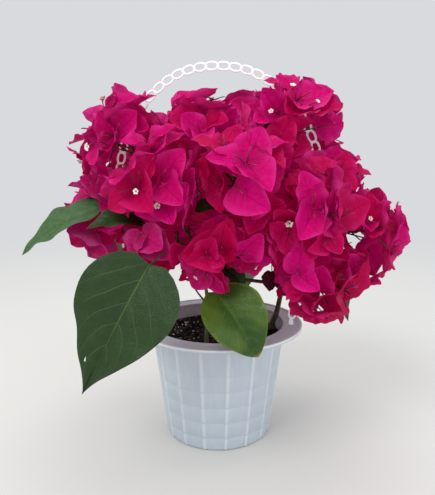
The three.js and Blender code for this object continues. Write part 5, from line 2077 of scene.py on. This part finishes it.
SMALL_LEAF_SEED = 64
SMALL_LEAF_ROWS = np.array([0.03, 0.1, 0.2, 0.32, 0.45, 0.58, 0.7, 0.82, 0.92])
SMALL_LEAF_COLUMNS = 6
SMALL_LEAF_SIZES = (17, 30)
# Where on a twig a small leaf can root
SMALL_LEAF_AT = (0.3, 0.8)
# The share of the flower groups whose twig carries a small leaf, if there is room for it
SMALL_LEAF_SHARE = 0.5
SMALL_STALK_LENGTH = 5
SMALL_STALK_RINGS = 5
SMALL_STALK_RADIUS = 0.5
# A small leaf in the dark gap in the middle of the crown: its base, its tip and the way it faces
GAP_LEAF = ((-19.0, -46.0, 223.0), (-0.4, -58.0, 225.1))
GAP_LEAF_FACES = (0, -0.8, 0.6)


class BUSH_OT_small_leaves(Operator):
    """Makes the small leaves that show between the bracts"""

    bl_idname = "bush.small_leaves"
    bl_label = "Small leaves"

    def execute(self, context):
        random = np.random.default_rng(SMALL_LEAF_SEED)
        grown = crown()
        leaves = []
        for group in grown.groups:
            if group.fine > 1 or random.random() > SMALL_LEAF_SHARE:
                continue
            start = group.root + (group.place - group.root) * random.uniform(*SMALL_LEAF_AT)
            twig = unit(group.place - group.root)
            first, second = square_to(twig)
            turn = random.uniform(0, TURN)
            side = first * math.cos(turn) + second * math.sin(turn)
            along = unit(side + 0.5 * twig - (0, 0, 0.25))
            size = random.uniform(*SMALL_LEAF_SIZES)
            root = start + along * SMALL_STALK_LENGTH
            tip = root + along * size
            edge = np.array([[start, tip]])
            if not grown.placed[group.mass].near(tip, size).crossed_by(NO_FACES, edge, start):
                leaves.append((start, root, along, (0, 0, 1) + 0.3 * twig, size))
        base, tip = np.array(GAP_LEAF)
        twigs = np.array([group.root for group in grown.groups])
        start = twigs[np.argmin(np.linalg.norm(twigs - base, axis=1))]
        size = np.linalg.norm(tip - base)
        leaves.append((start, base, (tip - base) / size, GAP_LEAF_FACES, size))
        self.build(leaves, random, context.scene.potted_bush.leaf.green)
        return {"FINISHED"}

    def build(self, leaves, random, green):
        """One piece of leaves, each from its twig, base, direction, the way it faces and size."""
        starts, roots, along, facing, sizes = (np.array(values) for values in zip(*leaves))
        up = unit(np.cross(np.cross(along, facing), along))
        stalks = zip(starts, roots + along, up * 0.4)
        lines = [bend_line(*stalk, SMALL_STALK_RINGS) for stalk in stalks]
        axes = np.stack([along, np.cross(up, along), up], axis=1)
        share, side = blade_shares(SMALL_LEAF_ROWS, SMALL_LEAF_COLUMNS)
        count = len(leaves)
        bend = random.uniform(0.05, 0.16, (count, 1))
        wave = random.uniform(0, TURN, (count, 1))
        ahead = np.broadcast_to(share, (count, len(share)))
        across = np.broadcast_to(0.34 * leaf_profile(share, 1.1) * side, ahead.shape)
        rise = bend * np.sin(math.pi * share) + 0.1 * np.abs(across)
        rise = rise + 0.03 * np.sin(TURN * 1.6 * share + wave) * side**2 - 0.15 * share**3
        local = np.stack([ahead, across, rise], axis=2) * sizes[:, None, None]
        tints = random.random(count)
        shape = Shape()
        add_blades(shape, local, roots, axes, SMALL_LEAF_ROWS, SMALL_LEAF_COLUMNS, tints)
        add_tubes(shape, lines, np.full((count, SMALL_STALK_RINGS), SMALL_STALK_RADIUS), 6)
        material = leaf_material("leaf_small", (*green, 1), srgb(110, 140, 80))
        place_piece(shape.build("small_leaves", material), "leaves")


# The three bracts of the wilted group: lean, size, shift of the root and tint
FADED_BRACTS = (
    (-0.35, 1, (0, 0, 0), 0.1),
    (0.05, 0.92, (-1.2, 0.4, 0), 0.5),
    (0.4, 0.85, (1.2, -0.4, 0), 0.9),
)
FADED_SEED = 12
FADED_RIPPLE = 0.1
FADED_CUP = 0.3
THREAD_RADIUS = 0.42


class BUSH_OT_faded(Operator):
    """Makes the wilted bract that hangs on its thread below the fork"""

    bl_idname = "bush.faded"
    bl_label = "Wilted bract"

    def execute(self, context):
        root, tip = (np.array(p, float) for p in (FADED_ROOT, FADED_TIP))
        size = np.linalg.norm(tip - root)
        along = (tip - root) / size
        up, across = square_to(along)
        lean, sizes, shifts, tints = (np.array(values, float) for values in zip(*FADED_BRACTS))
        out = unit(along + across * lean[:, None] * 0.6)
        face = unit(up + across * lean[:, None])
        face = unit(face - out * dot(face, out)[:, None])
        axes = np.stack([out, np.cross(face, out), face], axis=1)
        draws = np.random.default_rng(FADED_SEED).random((len(FADED_BRACTS), BRACT_DRAWS))
        shape = Shape()
        add_bracts(shape, root + shifts, axes, sizes * size, tints, draws, FADED_RIPPLE, FADED_CUP)
        foot, out = foot_on(crown().limbs["bough_top_centre"], 0.1, root, 0.5)
        thread = Path([foot, out, root + (0, 0, 8), root + along * 1.5])
        add_tube(shape, thread, np.full(18, THREAD_RADIUS), 7)
        material = bract_material(
            "bract_wilted", srgb(92, 16, 40), srgb(56, 10, 28), srgb(110, 40, 62), painted_glow=0
        )
        place_piece(shape.build("wilted_bract", material), "faded", "faded_bract")
        return {"FINISHED"}


# Stage

STUDIO_TONE = (0.86, 0.88, 0.91, 1)
STUDIO_LIGHT = 0.8
FLOOR_REACH = 6000
FLOOR_TONES = ((0.68, 0.67, 0.64, 1), (0.72, 0.71, 0.68, 1))
# The floor fades into the studio's light between these distances in metres
FLOOR_FADES = (0.35, 1.6)
# Each light's place, size, power and colour
LIGHTS = {
    "key": ((-0.75, -1.0, 1.5), 1.1, 15, (1.0, 0.985, 0.96)),
    "fill": ((1.2, -0.9, 0.9), 1.2, 5, (0.93, 0.96, 1.0)),
    "top": ((0.1, 0.5, 1.7), 1.2, 9, (0.96, 0.98, 1.0)),
}
LIGHTS_AIM = (0, 0, 0.18)
CAMERA_LENS = 40
CAMERA_DOWN_DEG = 10.5
NEAREST_SEEN = 0.01


class BUSH_OT_stage(Operator):
    """Sets the floor, the lights and the camera"""

    bl_idname = "bush.stage"
    bl_label = "Stage"

    def execute(self, context):
        scene = context.scene
        scene.view_settings.view_transform = "Standard"
        scene.view_settings.look = "None"
        self.add_floor()
        self.add_world(scene)
        for name, form in LIGHTS.items():
            self.add_light(scene, name, *form)
        camera = bpy.data.cameras.new("camera")
        camera.lens = CAMERA_LENS
        camera.clip_start = NEAREST_SEEN
        scene.camera = self.hold(scene, camera, [value * MM for value in VIEWPOINT])
        scene.camera.rotation_euler = (math.radians(90 - CAMERA_DOWN_DEG), 0, 0)
        return {"FINISHED"}

    def hold(self, scene, data, place):
        """Puts a light or a camera in its place."""
        holder = bpy.data.objects.new(data.name, data)
        holder.location = place
        scene.collection.objects.link(holder)
        return holder

    def add_floor(self):
        """A pale floor that fades into the studio's own light far from the pot."""
        nodes = Material("floor")
        away = nodes.add("VectorMath", operation="LENGTH")
        nodes.feed(away.inputs[0], nodes.object_place())
        far = nodes.range(away.outputs["Value"], *FLOOR_FADES)
        near = nodes.mix(nodes.noise(3.0, 4.0), *FLOOR_TONES)
        for name, value in (
            ("Base Color", nodes.mix(far, near, (0, 0, 0, 1))),
            ("Roughness", 0.6),
            ("Specular IOR Level", 0),
            ("Emission Color", STUDIO_TONE),
            ("Emission Strength", nodes.times(far, STUDIO_LIGHT)),
        ):
            nodes.feed(nodes.shader.inputs[name], value)
        corners = [(-1, -1, 0), (1, -1, 0), (1, 1, 0), (-1, 1, 0)]
        shape = Shape()
        shape.add(np.array(corners) * FLOOR_REACH, [(0, 1, 2, 3)])
        floor = shape.build("floor", nodes.material)

    def add_world(self, scene):
        world = bpy.data.worlds.new("studio")
        world.use_nodes = True
        background = world.node_tree.nodes["Background"]
        background.inputs["Color"].default_value = STUDIO_TONE
        background.inputs["Strength"].default_value = STUDIO_LIGHT
        scene.world = world

    def add_light(self, scene, name, place, size, power, tone):
        light = bpy.data.lights.new(name, "AREA")
        light.shape = "DISK"
        light.size = size
        light.energy = power
        light.color = tone
        aim = Vector(LIGHTS_AIM) - Vector(place)
        self.hold(scene, light, place).rotation_euler = aim.to_track_quat("-Z", "Y").to_euler()


class BUSH_PT_panel(Panel):
    """Lists the makers of all pieces"""

    bl_idname = "BUSH_PT_panel"
    bl_label = "Potted bougainvillea"
    bl_space_type = "VIEW_3D"
    bl_region_type = "UI"
    bl_category = "Bush"

    def draw(self, context):
        for operator in OPERATORS:
            self.layout.operator(operator.bl_idname)
        settings = context.scene.potted_bush
        for part in (settings.pot, settings.crown, settings.leaf):
            box = self.layout.box()
            for name in part.__annotations__:
                box.prop(part, name)


OPERATORS = (
    BUSH_OT_stage,
    BUSH_OT_pot,
    BUSH_OT_soil,
    BUSH_OT_strap,
    BUSH_OT_limbs,
    BUSH_OT_twigs,
    BUSH_OT_bracts,
    BUSH_OT_flowers,
    BUSH_OT_leaves,
    BUSH_OT_small_leaves,
    BUSH_OT_faded,
)
CLASSES = (PotSettings, CrownSettings, LeafSettings, BushSettings, *OPERATORS, BUSH_PT_panel)


def register():
    for item in CLASSES:
        bpy.utils.register_class(item)
    bpy.types.Scene.potted_bush = PointerProperty(type=BushSettings)


def unregister():
    del bpy.types.Scene.potted_bush
    for item in reversed(CLASSES):
        bpy.utils.unregister_class(item)


def main():
    register()
    for operator in OPERATORS:
        category, name = operator.bl_idname.split(".")
        getattr(getattr(bpy.ops, category), name)()
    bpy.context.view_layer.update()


if __name__ == "__main__":
    main()
